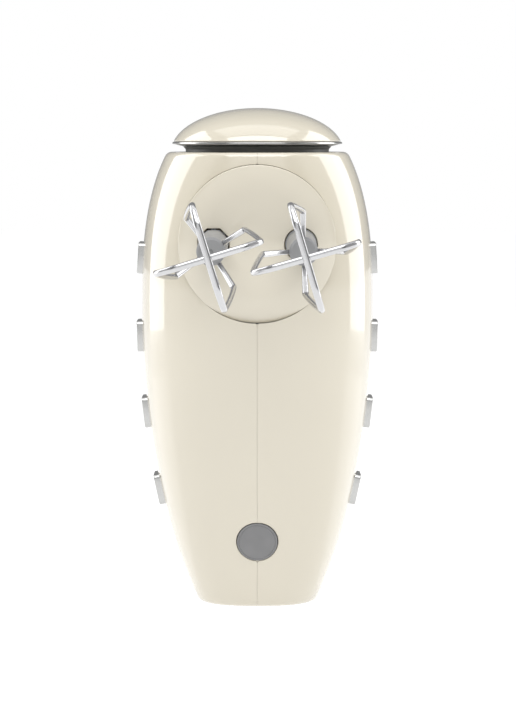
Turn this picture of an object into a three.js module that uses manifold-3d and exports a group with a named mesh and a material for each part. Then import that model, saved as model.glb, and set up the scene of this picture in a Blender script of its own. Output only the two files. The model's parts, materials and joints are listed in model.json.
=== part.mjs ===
// A hand mixer with two twisted-wire beaters, standing on its heel.
// Millimetres. +Z runs from the heel up to the nose, -Y is the way the beaters point, +Y is the handle side
// and X runs across. The origin is where the motor axis meets the surface that the heel stands on.
import * as THREE from "three";
import { mergeVertices } from "three/addons/utils/BufferGeometryUtils.js";
import Module from "manifold-3d";

const wasm = await Module();
wasm.setup();

// ---------------------------------------------------------------- driving dimensions
const GAP = 0.3; // between two pieces that touch or nest
const FIT = 0.15; // around a shaft that is pressed into a piece
const FACETS = 16; // sides of a small round piece
const WIDE_FACETS = 24; // and of a wide one
const FAR = 300; // past every face of the mixer

// Casing: the body's width and depth at each height, and how round its cross-section is.
const WALL = 2.4;
const WIDEST_Z = 120;
const HALF_WIDTH = 47.7;
const LOWER_WIDTH_ARC = { pastHeel: 23.4, power: 1.85 }; // from the widest height down to the heel
const UPPER_WIDTH_ARC = { pastFront: 20.3, power: 2.65 }; // and up to the nose
const BELLY_Z = 118; // where the underside is furthest out
const BELLY_DEPTH = 42;
const BELLY_RADIUS = 320; // the underside's curve from there down to the heel
const UPPER_BELLY_ARC = { pastFront: 42, power: 2.65 };
const BACK_DEPTH = 38;
const BACK_FRONT_DROP = 3.623; // how far the back has curved in by the front face
const SECTION_POWER = 2.35; // 2 would be an ellipse
const NOSE_ROUND_Z = 150; // above this the cross-section turns into a plain ellipse
const FRONT_Z = 186; // flat front end of the casing

// Handle
const HANDLE_TOP_Y = 114;
const HANDLE_HALF_WIDTH = 17.5;
const HANDLE_FRONT_Z = FRONT_Z - 2;
const HANDLE_REAR_Z = -6; // of its outline, which the heel face cuts short
const HANDLE_ROUNDING = 12; // along its edges
const HANDLE_REAR_CORNER = 16;
const HANDLE_FRONT_CORNER = 45;
const HANDLE_ROOT_Y = -6; // where the handle block ends inside the casing
const GRIP_THICKNESS = 30;
const OPENING = { rootY: 30, z: [38, 138], corner: 18, rootCorner: 5 };

// Heel
const HEEL_FACE_Z = 0.4; // the casing is held clear of the surface by its rubber foot
const HEEL_FLOOR_Z = 5; // inner face of the heel
const FOOT_THICKNESS = 2.4;
const FOOT_Y = [-14, HANDLE_TOP_Y - 22];
const FOOT_HALF_WIDTH = 13;

// Nose
const NECK = { radius: 29.4, wall: 3, lip: 2.2, inside: 3.8, height: 2.2 };
const RING = { overhang: 5.5, edge: 0.8, thickness: 1.9, gap: 0.1 };
const DOME = { overhang: 0.5, height: 17.9 }; // an ellipse about the front face, wider than the ring
const CAP_WALL = 2.6;

// Boss, sockets and gearbox
const SPINDLE_X = 17.36; // half the distance between the beaters
const BOSS = { rounding: 8.5, proud: 0.3, skirtY: -26.5, wall: 2.6, around: 1.2, belowNeck: 0.7 };
const SOCKET_PLAY = { round: 0.6, octagon: 0.82 }; // around a spindle's collar, out to the octagon's corners
const HALF_FLAT = 22.5; // turns an octagon from a corner on top to a flat on top
const BASE = { rim: 2.84, y: [-28, -22] }; // the rim is what is left around its bushes
const LID = { rim: 4.84, clear: 2.8, thickness: 4 }; // clear of the worm
const REAR_WALL = [-23.2, -18.7]; // heights of the gearbox's end walls, from the spindles' height
const FRONT_WALL = [16.8, 23.3];
const WALL_HALF_X = 20;
const BUSH = { wall: 2, lowerY: [-29, -21], pastLid: 1 };

// Worm drive
const WHEEL_TEETH = 26;
const WORM_STARTS = 2;
const TOOTH_PITCH = Math.PI;
const WHEEL = { below: 1.2, above: 0.8, tipShare: 0.12, rootShare: 0.28, y: [-5, 5] }; // of the pitch circle
const WORM = { below: 1.06, above: 0.84, tipShare: 0.11, rootShare: 0.3, span: [-12.7, 13.3] };
const WORM_STATIONS = 44;

// Motor, along the Z axis
const SHAFT = { radius: 2.6, fromZ: 40, pastSpindles: 28.3 };
const STATOR = { width: 56, depth: 46, corner: 8, bore: 16.3, z: [72, 104] };
const COIL = { x: [19, 24], halfY: 14.2, bar: 5, overhang: 6 };
const ARMATURE = { airGap: 0.7, slots: 12, slotDepth: 7, slotWidth: 2.4 };
const COMMUTATOR = { radius: 10, z: [54, 66] };
const FAN = { radius: 21, hub: 6.5, z: [112, 120], plate: 1.2, blades: 9, blade: 1.2 };
const BRUSH = { length: 11.6, halfY: 3, z: [57, 63] };
const BRACKET = { halfX: 26, halfY: 18, corner: 7, z: [44, 50] };
const BEARING_RADIUS = 7;

// Beaters
const EARS = { length: 1.2, thickness: 1.6, y: [-34, -30.6], play: 0.35 };
const BEATER_SHAFT = { radius: 3.1, y: [-60, 6] };
const SPINDLE = { play: 0.5, wall: 1.6, collar: 0.8, fromY: -36, collarY: -29.6 };
const HUB = { top: 6.1, end: 5.4, y: [-104, -37], collarLength: 6, octagon: 6.1, round: 6.25 };
const WIRE_RADIUS = 1.2;
const WIRE_HOLE_RADIUS = 1.7;
const WIRE_EXIT_Y = -101; // where a wire leaves the hub
const WIRE_BEND = { radius: 15.5, y: -115 };
const WIRE_WIDEST = { radius: 20, y: -151 };
const WIRE_TIP_Y = -160; // middle of the outer loop
const INNER_LOOP_LIFT = 2.7; // of the other loop, to cross above it
const WIRE_ANGLES = { // turn of each loop about its beater, at the upper bend and at the widest part
  left: { outer: [124, 107], inner: [34, 17] },
  right: { outer: [92, 106.5], inner: [2, 16] },
};

// Ejector, which pushes both beaters out
const BUTTON = { halfX: 8, halfZ: 7, corner: 3, edge: 1, inside: 10, proud: 4 };
const FORK = { halfZ: 3, stemHalfX: 3, plate: [12, 15], plateEnd: 3.14, pin: 2.6, pinGap: 0.6 };
const SPRING = { radius: 4.2, wire: 0.5, turns: 5 };

// Control panel on the handle
const PANEL = { halfX: 10.5, proud: 0.6, fromZ: 64, toAngle: 58 };
const DISPLAY = { halfX: 8, proud: 0.4, depth: 1.4, angles: [28, 50] };
const KEY = { radius: 4.6, play: 0.4, flange: 1.4, flangeThickness: 1.8, proud: 2 };
const KEY_HEIGHTS = { power_button: 128, plus_button: 110, minus_button: 94 };
const BOARD = { halfX: 11, depth: 22, thickness: 1.6, z: [50, 125] };

// Small outer pieces
const TRIM = { length: 12.8, depth: 15, proud: 1.9, sunk: 1.2, corner: 2 };
const TRIM_HEIGHTS = [142.6, 110.5, 79.1, 47.2];
const PAD = { radius: 8.2, z: 28.6, proud: 0.15, sunk: 1.3 };
const GLAND = { bore: 3.5, wall: 1.5, flange: 2.5, z: 30, proud: 3, inside: 5 };
const VENTS = { width: 2.2, pitch: 6, perSide: 3, firstX: 4, bands: [[46, 64], [104, 122]] };
const SCREWS = [{ y: 72, z: 168 }, { y: 50, z: 20 }, { y: 96, z: 17 }];
const SCREW = { shank: 1.5, head: 3.2, headX: [12, 14.2], tipX: -10, pillar: 1.4 };

// ---------------------------------------------------------------- sizes that follow
const shifted = ([from, to], by) => [from + by, to + by];
const grown = ([from, to], by) => [from - by, to + by];

const BACK_RADIUS = ((FRONT_Z - BELLY_Z) ** 2 + BACK_FRONT_DROP ** 2) / (2 * BACK_FRONT_DROP);
const NECK_Z = [FRONT_Z - NECK.inside, FRONT_Z + NECK.height];
const NECK_BORE = NECK.radius - NECK.wall;
const NECK_LIP = NECK.radius + NECK.lip;
const RING_RADIUS = NECK.radius + RING.overhang;
const RING_Z = shifted([0, RING.thickness], NECK_Z[1] + RING.gap);
const DOME_RADIUS = RING_RADIUS + DOME.overhang;

const SPINDLE_BORE = BEATER_SHAFT.radius + SPINDLE.play;
const SPINDLE_RADIUS = SPINDLE_BORE + SPINDLE.wall;
const COLLAR_RADIUS = SPINDLE_RADIUS + SPINDLE.collar;
const BUSH_BORE = SPINDLE_RADIUS + GAP;
const BUSH_RADIUS = BUSH_BORE + BUSH.wall;
const BASE_RADIUS = SPINDLE_X + BUSH_RADIUS + GAP + BASE.rim;
const BOSS_RADIUS = BASE_RADIUS + BOSS.around + BOSS.wall;
const SPINDLE_Z = NECK_Z[0] - BOSS.belowNeck - BOSS_RADIUS;

const WHEEL_PITCH_RADIUS = (WHEEL_TEETH * TOOTH_PITCH) / (2 * Math.PI);
const WORM_PITCH_RADIUS = SPINDLE_X - WHEEL_PITCH_RADIUS;
const SHAFT_Z = [SHAFT.fromZ, SPINDLE_Z + SHAFT.pastSpindles];
const REAR_WALL_Z = shifted(REAR_WALL, SPINDLE_Z);
const FRONT_WALL_Z = shifted(FRONT_WALL, SPINDLE_Z);
const LID_Y = shifted([0, LID.thickness], WORM_PITCH_RADIUS + WORM.above + LID.clear);
const UPPER_BUSH_Y = grown(LID_Y, BUSH.pastLid);
const SPINDLE_Y = [SPINDLE.fromY, UPPER_BUSH_Y[1]];
const ARMATURE_RADIUS = STATOR.bore - ARMATURE.airGap;

const EARS_HALF_SPAN = BEATER_SHAFT.radius + EARS.length;
const BUTTON_Y = shifted([-BUTTON.inside, BUTTON.proud], HANDLE_TOP_Y);
const KEY_HOLE = KEY.radius + KEY.play;
const GLAND_COLLAR = GLAND.bore + GLAND.wall;
const GLAND_FLANGE = GLAND_COLLAR + GLAND.flange;

// ---------------------------------------------------------------- finishes
const finish = (color, roughness, metalness = 0) => ({ color, roughness, metalness });
const CREAM = finish(0xe6dfc9, 0.18);
const CHROME = finish(0xd5d7da, 0.12, 1);
const SATIN = finish(0xb9bbbd, 0.35, 1);
const STEEL = finish(0xa9acb0, 0.3, 1);
const DARK_GREY = finish(0x4b4d4d, 0.45);
const HUB_GREY = finish(0x9b9da0, 0.4);
const RUBBER = finish(0x87888a, 0.8);
const BLACK = finish(0x17181a, 0.15);
const COPPER = finish(0xb4622c, 0.35, 1);
const CARBON = finish(0x2a2a2c, 0.7);
const BOARD_GREEN = finish(0x1f5b36, 0.55);
const NYLON = finish(0xe9e6da, 0.5);
const BRONZE = finish(0xb58b45, 0.4, 1);
const FRAME_GREY = finish(0x5f6468, 0.6);

// ---------------------------------------------------------------- solids
// A three.js geometry as a manifold-3d solid, with its faces turned out.
function solid(geometry) {
  const bare = new THREE.BufferGeometry();
  bare.setAttribute("position", geometry.getAttribute("position").clone());
  if (geometry.index) bare.setIndex(geometry.index.clone());
  const merged = mergeVertices(bare, 1e-4);
  const triangles = [];
  for (let i = 0; i < merged.index.count; i += 3) {
    const [a, b, c] = [0, 1, 2].map((k) => merged.index.getX(i + k));
    if (a !== b && b !== c && c !== a) triangles.push(a, b, c);
  }
  const vertProperties = new Float32Array(merged.attributes.position.array);
  const build = (indices) =>
    new wasm.Manifold(new wasm.Mesh({ numProp: 3, vertProperties, triVerts: new Uint32Array(indices) }));
  const made = build(triangles);
  return made.volume() > 0 ? made : build(triangles.reverse());
}

function geometryOf(made) {
  const { numProp, numVert, vertProperties, triVerts } = made.getMesh();
  const position = new Float32Array(numVert * 3);
  for (let i = 0; i < numVert; i++) {
    position.set(vertProperties.subarray(i * numProp, i * numProp + 3), i * 3);
  }
  const geometry = new THREE.BufferGeometry();
  geometry.setAttribute("position", new THREE.BufferAttribute(position, 3));
  geometry.setIndex(new THREE.BufferAttribute(new Uint32Array(triVerts), 1));
  geometry.computeVertexNormals();
  return geometry;
}

// A solid turned by degrees about X, Y or Z and then moved.
function placed(made, { turn = [0, 0, 0], at = [0, 0, 0] }) {
  const matrix = new THREE.Matrix4()
    .makeRotationFromEuler(new THREE.Euler(...turn.map(THREE.MathUtils.degToRad)))
    .setPosition(...at);
  return solid(geometryOf(made).applyMatrix4(matrix));
}

const mirrored = (made) => solid(geometryOf(made).applyMatrix4(new THREE.Matrix4().makeScale(-1, 1, 1)));

const union = (first, ...rest) => rest.reduce((made, piece) => made.add(piece), first);
const cut = (first, ...rest) => rest.reduce((made, piece) => made.subtract(piece), first);

function box([x0, x1], [y0, y1], [z0, z1]) {
  const geometry = new THREE.BoxGeometry(x1 - x0, y1 - y0, z1 - z0);
  return solid(geometry.translate((x0 + x1) / 2, (y0 + y1) / 2, (z0 + z1) / 2));
}

// A cylinder along one axis of the frame; `at` is its place in the other two, in x, y, z order.
function rod(axis, radius, [from, to], at = [0, 0], sides = FACETS) {
  const geometry = new THREE.CylinderGeometry(radius, radius, to - from, sides);
  const middle = (from + to) / 2;
  if (axis === "x") return solid(geometry.rotateZ(Math.PI / 2).translate(middle, ...at));
  if (axis === "y") return solid(geometry.translate(at[0], middle, at[1]));
  return solid(geometry.rotateX(Math.PI / 2).translate(...at, middle));
}

// A turned piece: a closed profile of [radius, height] points about the Y axis, or about Z.
function turned(profile, axis = "y", sides = FACETS) {
  const closed = [...profile, profile[0]].map(([r, h]) => new THREE.Vector2(r, h));
  const geometry = new THREE.LatheGeometry(closed, sides);
  return solid(axis === "z" ? geometry.rotateX(Math.PI / 2) : geometry);
}

const tube = (outer, inner, [from, to], axis = "y", sides = FACETS) =>
  turned([[inner, from], [outer, from], [outer, to], [inner, to]], axis, sides);

// A solid skinned over rings of equally many points, with a fan over each end.
function loft(rings) {
  const count = rings[0].length;
  const points = rings.flat();
  const index = [];
  for (let i = 0; i < rings.length - 1; i++) {
    for (let j = 0; j < count; j++) {
      const [a, b] = [i * count + j, i * count + ((j + 1) % count)];
      index.push(a, b, b + count, a, b + count, a + count);
    }
  }
  const ends = [{ base: 0, flip: true }, { base: (rings.length - 1) * count, flip: false }];
  for (const { base, flip } of ends) {
    const ring = points.slice(base, base + count);
    points.push(ring.reduce((sum, p) => sum.add(p), new THREE.Vector3()).divideScalar(count));
    for (let j = 0; j < count; j++) {
      const edge = [base + j, base + ((j + 1) % count)];
      index.push(points.length - 1, ...(flip ? edge.reverse() : edge));
    }
  }
  const geometry = new THREE.BufferGeometry().setFromPoints(points);
  geometry.setIndex(index);
  return solid(geometry);
}

// A round bar along a curve.
function swept(curve, radius, segments, sides) {
  const { normals, binormals } = curve.computeFrenetFrames(segments, false);
  return loft(normals.map((normal, i) => Array.from({ length: sides }, (_, j) => {
    const angle = (2 * Math.PI * j) / sides;
    return curve.getPointAt(i / segments)
      .addScaledVector(normal, radius * Math.cos(angle))
      .addScaledVector(binormals[i], radius * Math.sin(angle));
  })));
}

// Lays an outline drawn in (Y, Z) into that plane, its extrusion along X.
const SIDEWAYS = new THREE.Matrix4().makeBasis(
  new THREE.Vector3(0, 1, 0), new THREE.Vector3(0, 0, 1), new THREE.Vector3(1, 0, 0));

// An outline drawn in (Y, Z), from x0 to x1, with its edges rounded.
function slab(outline, [x0, x1], rounding = 0, curveSegments = 5) {
  const geometry = new THREE.ExtrudeGeometry(outline, {
    depth: x1 - x0 - 2 * rounding, curveSegments, bevelEnabled: rounding > 0,
    bevelThickness: rounding, bevelSize: rounding, bevelOffset: -rounding, bevelSegments: 2,
  });
  return solid(geometry.translate(0, 0, x0 + rounding).applyMatrix4(SIDEWAYS));
}

// A rounded rectangle about the origin, drawn in the plane's own two directions.
function roundedRectangle(width, height, corner) {
  const [w, h] = [width / 2 - corner, height / 2 - corner];
  return new THREE.Shape()
    .absarc(w, h, corner, 0, Math.PI / 2)
    .absarc(-w, h, corner, Math.PI / 2, Math.PI)
    .absarc(-w, -h, corner, Math.PI, 1.5 * Math.PI)
    .absarc(w, -h, corner, 1.5 * Math.PI, 2 * Math.PI);
}

// An outline drawn in (X, Y), from z0 to z1.
function plate(outline, [z0, z1], curveSegments = 4) {
  const geometry = new THREE.ExtrudeGeometry(outline, { depth: z1 - z0, curveSegments, bevelEnabled: false });
  return solid(geometry.translate(0, 0, z0));
}

const root = new THREE.Group();

function add(name, made, material, parent = root) {
  const look = new THREE.MeshStandardMaterial({ ...material, flatShading: true });
  const mesh = new THREE.Mesh(geometryOf(made), look);
  mesh.name = name;
  parent.add(mesh);
  return mesh;
}

// A group for the pieces that share an axis along Y at the beaters' height.
function axisGroup(x) {
  const group = new THREE.Group();
  group.position.set(x, 0, SPINDLE_Z);
  root.add(group);
  return group;
}

// ---------------------------------------------------------------- casing form
// What is left of a superellipse arc at a distance from its start: 1 at the start, 0 at its length.
const remaining = (distance, length, power) => (1 - (distance / length) ** power) ** (1 / power);

// How far a circular curve has dropped at a distance from its crest.
const drop = (distance, radius) => radius - Math.sqrt(radius ** 2 - distance ** 2);

function halfWidth(z) {
  if (z < WIDEST_Z) {
    return HALF_WIDTH * remaining(WIDEST_Z - z, WIDEST_Z + LOWER_WIDTH_ARC.pastHeel, LOWER_WIDTH_ARC.power);
  }
  const length = FRONT_Z - WIDEST_Z + UPPER_WIDTH_ARC.pastFront;
  return HALF_WIDTH * remaining(z - WIDEST_Z, length, UPPER_WIDTH_ARC.power);
}

function bellyDepth(z) {
  if (z < BELLY_Z) return BELLY_DEPTH - drop(BELLY_Z - z, BELLY_RADIUS);
  const length = FRONT_Z - BELLY_Z + UPPER_BELLY_ARC.pastFront;
  return BELLY_DEPTH * remaining(z - BELLY_Z, length, UPPER_BELLY_ARC.power);
}

const backDepth = (z) => BACK_DEPTH - drop(BELLY_Z - z, BACK_RADIUS);

const sectionPower = (z) => THREE.MathUtils.mapLinear(
  Math.max(z, NOSE_ROUND_Z), NOSE_ROUND_Z, FRONT_Z, SECTION_POWER, 2);

// The casing's cross-section at a height, pulled in by `inset` and drawn at `drawnZ`.
function casingSection(z, inset, drawnZ = z) {
  const share = 2 / sectionPower(z);
  return Array.from({ length: WIDE_FACETS }, (_, i) => {
    const angle = (2 * Math.PI * i) / WIDE_FACETS;
    const [c, s] = [Math.cos(angle), Math.sin(angle)];
    const depth = s < 0 ? bellyDepth(z) : backDepth(z);
    return new THREE.Vector3(
      (halfWidth(z) - inset) * Math.sign(c) * Math.abs(c) ** share,
      (depth - inset) * Math.sign(s) * Math.abs(s) ** share,
      drawnZ);
  });
}

const CASING_STEPS = 9;
const EDGE = 1.5; // rounding of the casing's two end faces

// The body of the casing between two heights, its end faces rounded by `edge`.
function casingBody(inset, [from, to], edge = 0) {
  const heights = Array.from({ length: CASING_STEPS + 1 }, (_, i) => {
    const share = i / CASING_STEPS;
    return from + edge + (to - from - 2 * edge) * (1 - (1 - share) ** 1.25);
  });
  const rings = heights.map((z) => casingSection(z, inset));
  if (edge) {
    rings.unshift(casingSection(from + edge, inset + edge, from));
    rings.push(casingSection(to - edge, inset + edge, to));
  }
  return loft(rings);
}

// The handle's side outline, pulled in by `inset` from its outside and from its finger opening.
function handleOutline(inset) {
  const [top, front, rear] = [HANDLE_TOP_Y - inset, HANDLE_FRONT_Z - inset, HANDLE_REAR_Z + inset];
  const [r, f] = [HANDLE_REAR_CORNER - inset, HANDLE_FRONT_CORNER - inset];
  const outline = new THREE.Shape()
    .moveTo(HANDLE_ROOT_Y, rear)
    .lineTo(top - r, rear)
    .absarc(top - r, rear + r, r, -Math.PI / 2, 0)
    .absarc(top - f, front - f, f, 0, Math.PI / 2)
    .lineTo(HANDLE_ROOT_Y, front);
  const [y0, y1] = [OPENING.rootY - inset, HANDLE_TOP_Y - GRIP_THICKNESS + inset];
  const [z0, z1] = grown(OPENING.z, inset);
  const [c, k] = [OPENING.corner + inset, OPENING.rootCorner + inset];
  outline.holes.push(new THREE.Path()
    .absarc(y0 + k, z0 + k, k, 1.5 * Math.PI, Math.PI, true)
    .absarc(y0 + k, z1 - k, k, Math.PI, Math.PI / 2, true)
    .absarc(y1 - c, z1 - c, c, Math.PI / 2, 0, true)
    .absarc(y1 - c, z0 + c, c, 0, -Math.PI / 2, true));
  return outline;
}

const handleBlock = (inset) =>
  slab(handleOutline(inset), grown([0, 0], HANDLE_HALF_WIDTH - inset), HANDLE_ROUNDING - inset);

const above = (z) => box([-FAR, FAR], [-FAR, FAR], [z, FAR]);

// A strip along the handle's top and round its front corner, between two depths from the surface.
function panelStrip(outside, inside, halfX, fromZ, angles) {
  const [y, z] = [HANDLE_TOP_Y - HANDLE_FRONT_CORNER, HANDLE_FRONT_Z - HANDLE_FRONT_CORNER];
  const [from, to] = angles.map(THREE.MathUtils.degToRad);
  const outline = new THREE.Shape();
  if (fromZ < z) outline.moveTo(HANDLE_TOP_Y - inside, fromZ).lineTo(HANDLE_TOP_Y + outside, fromZ);
  outline.absarc(y, z, HANDLE_FRONT_CORNER + outside, from, to);
  outline.absarc(y, z, HANDLE_FRONT_CORNER - inside, to, from, true);
  return slab(outline, [-halfX, halfX], 0, 7);
}

// ---------------------------------------------------------------- casing
const BOSS_FACE_Y = -(BELLY_DEPTH + BOSS.proud);
const bossColumn = (radius, y) => rod("y", radius, y, [0, SPINDLE_Z], WIDE_FACETS);

// The boss as a solid button, pulled in by `inset`.
function bossButton(inset) {
  const [radius, face, rounding] = [BOSS_RADIUS - inset, BOSS_FACE_Y + inset, BOSS.rounding - inset];
  const rim = Array.from({ length: 5 }, (_, i) => {
    const angle = (i / 4) * (Math.PI / 2);
    return [radius - rounding + rounding * Math.sin(angle), face + rounding - rounding * Math.cos(angle)];
  });
  const button = turned([[0, face], ...rim, [radius, 0], [0, 0]], "y", WIDE_FACETS);
  return placed(button, { at: [0, 0, SPINDLE_Z] });
}

const bodyOuter = casingBody(0, [HEEL_FACE_Z, FRONT_Z], EDGE);
const bodyInner = casingBody(WALL, [HEEL_FLOOR_Z, FRONT_Z - WALL]);

// A flat piece let into the casing: made lying across X, then turned and moved to its place.
const trimPiece = (z, margin) => {
  const { length, depth, proud, sunk, corner } = TRIM;
  const slope = THREE.MathUtils.radToDeg(Math.atan((halfWidth(z + 1) - halfWidth(z - 1)) / 2));
  const outline = roundedRectangle(depth + 2 * margin, length + 2 * margin, corner + margin);
  const lying = slab(outline, [-sunk - margin, proud], 0, 2);
  return placed(lying, { turn: [0, slope, 0], at: [halfWidth(z), 0, z] });
};

const underAngle = THREE.MathUtils.radToDeg(Math.asin((BELLY_Z - PAD.z) / BELLY_RADIUS));
const padPiece = (margin) => placed(
  rod("y", PAD.radius + margin, [-PAD.proud, PAD.sunk + margin], [0, 0], WIDE_FACETS),
  { turn: [underAngle, 0, 0], at: [0, -bellyDepth(PAD.z), PAD.z] });

const footPiece = (margin) => {
  const [width, length] = [2 * (FOOT_HALF_WIDTH + margin), FOOT_Y[1] - FOOT_Y[0] + 2 * margin];
  const outline = roundedRectangle(width, length, width / 2);
  return placed(plate(outline, [0, FOOT_THICKNESS + margin], 6), { at: [0, (FOOT_Y[0] + FOOT_Y[1]) / 2, 0] });
};

const ventSlots = VENTS.bands.flatMap((band) => Array.from({ length: VENTS.perSide }, (_, i) => {
  const x = VENTS.firstX + i * VENTS.pitch;
  const slot = box([x - VENTS.width / 2, x + VENTS.width / 2], [BACK_DEPTH - 14, BACK_DEPTH + 4], band);
  return [slot, mirrored(slot)];
})).flat();

const screwHole = ({ y, z }) => union(
  rod("x", SCREW.shank + GAP, [SCREW.tipX - GAP, FAR], [y, z], 12),
  rod("x", SCREW.head + GAP, [SCREW.headX[0] - GAP, FAR], [y, z], 12));

const screwPillar = ({ y, z }) =>
  rod("x", SCREW.head + SCREW.pillar, grown([0, 0], HANDLE_HALF_WIDTH - WALL / 2), [y, z], 12);

function casing() {
  const outer = union(bodyOuter, handleBlock(0)).intersect(above(HEEL_FACE_Z));
  const inner = union(bodyInner, handleBlock(WALL)).intersect(above(HEEL_FLOOR_Z));
  const shell = union(cut(outer, inner), ...SCREWS.map(screwPillar));
  const openings = [
    bossColumn(BOSS_RADIUS + GAP, [-FAR, -BOSS.rounding]),
    rod("z", NECK.radius + GAP, [FRONT_Z - 2 * WALL, FAR], [0, 0], WIDE_FACETS),
    rod("y", GLAND_COLLAR + GAP, [HANDLE_TOP_Y - 2 * WALL, FAR], [0, GLAND.z]),
    panelStrip(FAR / 10, 1.5 * WALL, PANEL.halfX + GAP, PANEL.fromZ - GAP, [0, PANEL.toAngle + 0.4]),
    footPiece(GAP),
    padPiece(GAP),
    ...TRIM_HEIGHTS.flatMap((z) => [trimPiece(z, GAP), mirrored(trimPiece(z, GAP))]),
    ...ventSlots,
    ...SCREWS.map(screwHole),
  ];
  const whole = cut(shell, ...openings);
  const rightHalf = box([GAP / 2, FAR], [-FAR, FAR], [-FAR, FAR]);
  add("left_shell", whole.intersect(mirrored(rightHalf)), CREAM);
  add("right_shell", whole.intersect(rightHalf), CREAM);

  SCREWS.forEach(({ y, z }, i) => {
    add(`shell_screw_${i + 1}`, union(
      rod("x", SCREW.shank, [SCREW.tipX, SCREW.headX[0]], [y, z], 10),
      rod("x", SCREW.head, SCREW.headX, [y, z], 12)), STEEL);
  });
  add("heel_foot", footPiece(0), RUBBER);
  add("underside_pad", padPiece(0), RUBBER);
  TRIM_HEIGHTS.forEach((z, i) => {
    add(`side_trim_right_${i + 1}`, trimPiece(z, 0), CHROME);
    add(`side_trim_left_${i + 1}`, mirrored(trimPiece(z, 0)), CHROME);
  });
  const flangeTop = HANDLE_TOP_Y + GLAND.proud;
  add("cord_gland", turned([
    [GLAND.bore, HANDLE_TOP_Y - GLAND.inside], [GLAND_COLLAR, HANDLE_TOP_Y - GLAND.inside],
    [GLAND_COLLAR, HANDLE_TOP_Y + FIT], [GLAND_FLANGE, HANDLE_TOP_Y + FIT],
    [GLAND_FLANGE, flangeTop - 1.2], [GLAND_FLANGE - 1.2, flangeTop], [GLAND.bore, flangeTop],
  ]), DARK_GREY).position.z = GLAND.z;
}

function bossCover() {
  const outer = union(bossButton(0), bodyOuter).intersect(bossColumn(BOSS_RADIUS, [-FAR, BOSS.skirtY]));
  const inner = union(bossButton(BOSS.wall), bodyInner)
    .intersect(bossColumn(BOSS_RADIUS - BOSS.wall, [-FAR, 0]));
  const octagon = placed(rod("y", COLLAR_RADIUS + SOCKET_PLAY.octagon, [-FAR, 0], [0, 0], 8), {
    turn: [0, HALF_FLAT, 0], at: [-SPINDLE_X, 0, SPINDLE_Z],
  });
  const round = rod("y", COLLAR_RADIUS + SOCKET_PLAY.round, [-FAR, 0], [SPINDLE_X, SPINDLE_Z]);
  add("boss_cover", cut(outer, inner, octagon, round), CREAM);
}

function nose() {
  const inside = FRONT_Z - WALL - GAP;
  add("nose_neck", turned([
    [NECK_BORE, NECK_Z[0]], [NECK_LIP, NECK_Z[0]], [NECK_LIP, inside], [NECK.radius, inside],
    [NECK.radius, NECK_Z[1]], [NECK_BORE, NECK_Z[1]],
  ], "z", WIDE_FACETS), DARK_GREY);
  add("nose_ring", turned([
    [NECK_BORE, RING_Z[0]], [NECK_LIP, RING_Z[0]], [RING_RADIUS, RING_Z[0] + RING.edge],
    [RING_RADIUS, RING_Z[1]], [NECK_BORE, RING_Z[1]],
  ], "z", WIDE_FACETS), CHROME);
  const base = RING_Z[1] + RING.gap;
  const arc = (inset, steps) => {
    const [radius, height] = [DOME_RADIUS - inset, DOME.height - inset];
    const start = Math.asin((base - FRONT_Z) / height);
    return Array.from({ length: steps + 1 }, (_, i) => {
      const angle = start + (i / steps) * (Math.PI / 2 - start);
      return [i === steps ? 0 : radius * Math.cos(angle), FRONT_Z + height * Math.sin(angle)];
    });
  };
  add("nose_cap", turned([...arc(0, 5), ...arc(CAP_WALL, 3).reverse()], "z", WIDE_FACETS), CREAM);
}

// ---------------------------------------------------------------- motor
// A closed ring of points whose radius follows teeth: `phase` counts teeth along the ring.
function toothedRing(teeth, pitchRadius, { below, above, tipShare, rootShare }, turn, place) {
  const [low, tip] = [pitchRadius - below, pitchRadius + above];
  const corners = [[-rootShare, low], [-tipShare, tip], [tipShare, tip], [rootShare, low], [0.5, low]];
  return Array.from({ length: teeth }, (_, tooth) => corners.map(([share, radius]) => {
    const angle = turn + ((tooth + share) / teeth) * 2 * Math.PI;
    return place(radius * Math.cos(angle), radius * Math.sin(angle));
  })).flat();
}

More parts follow.
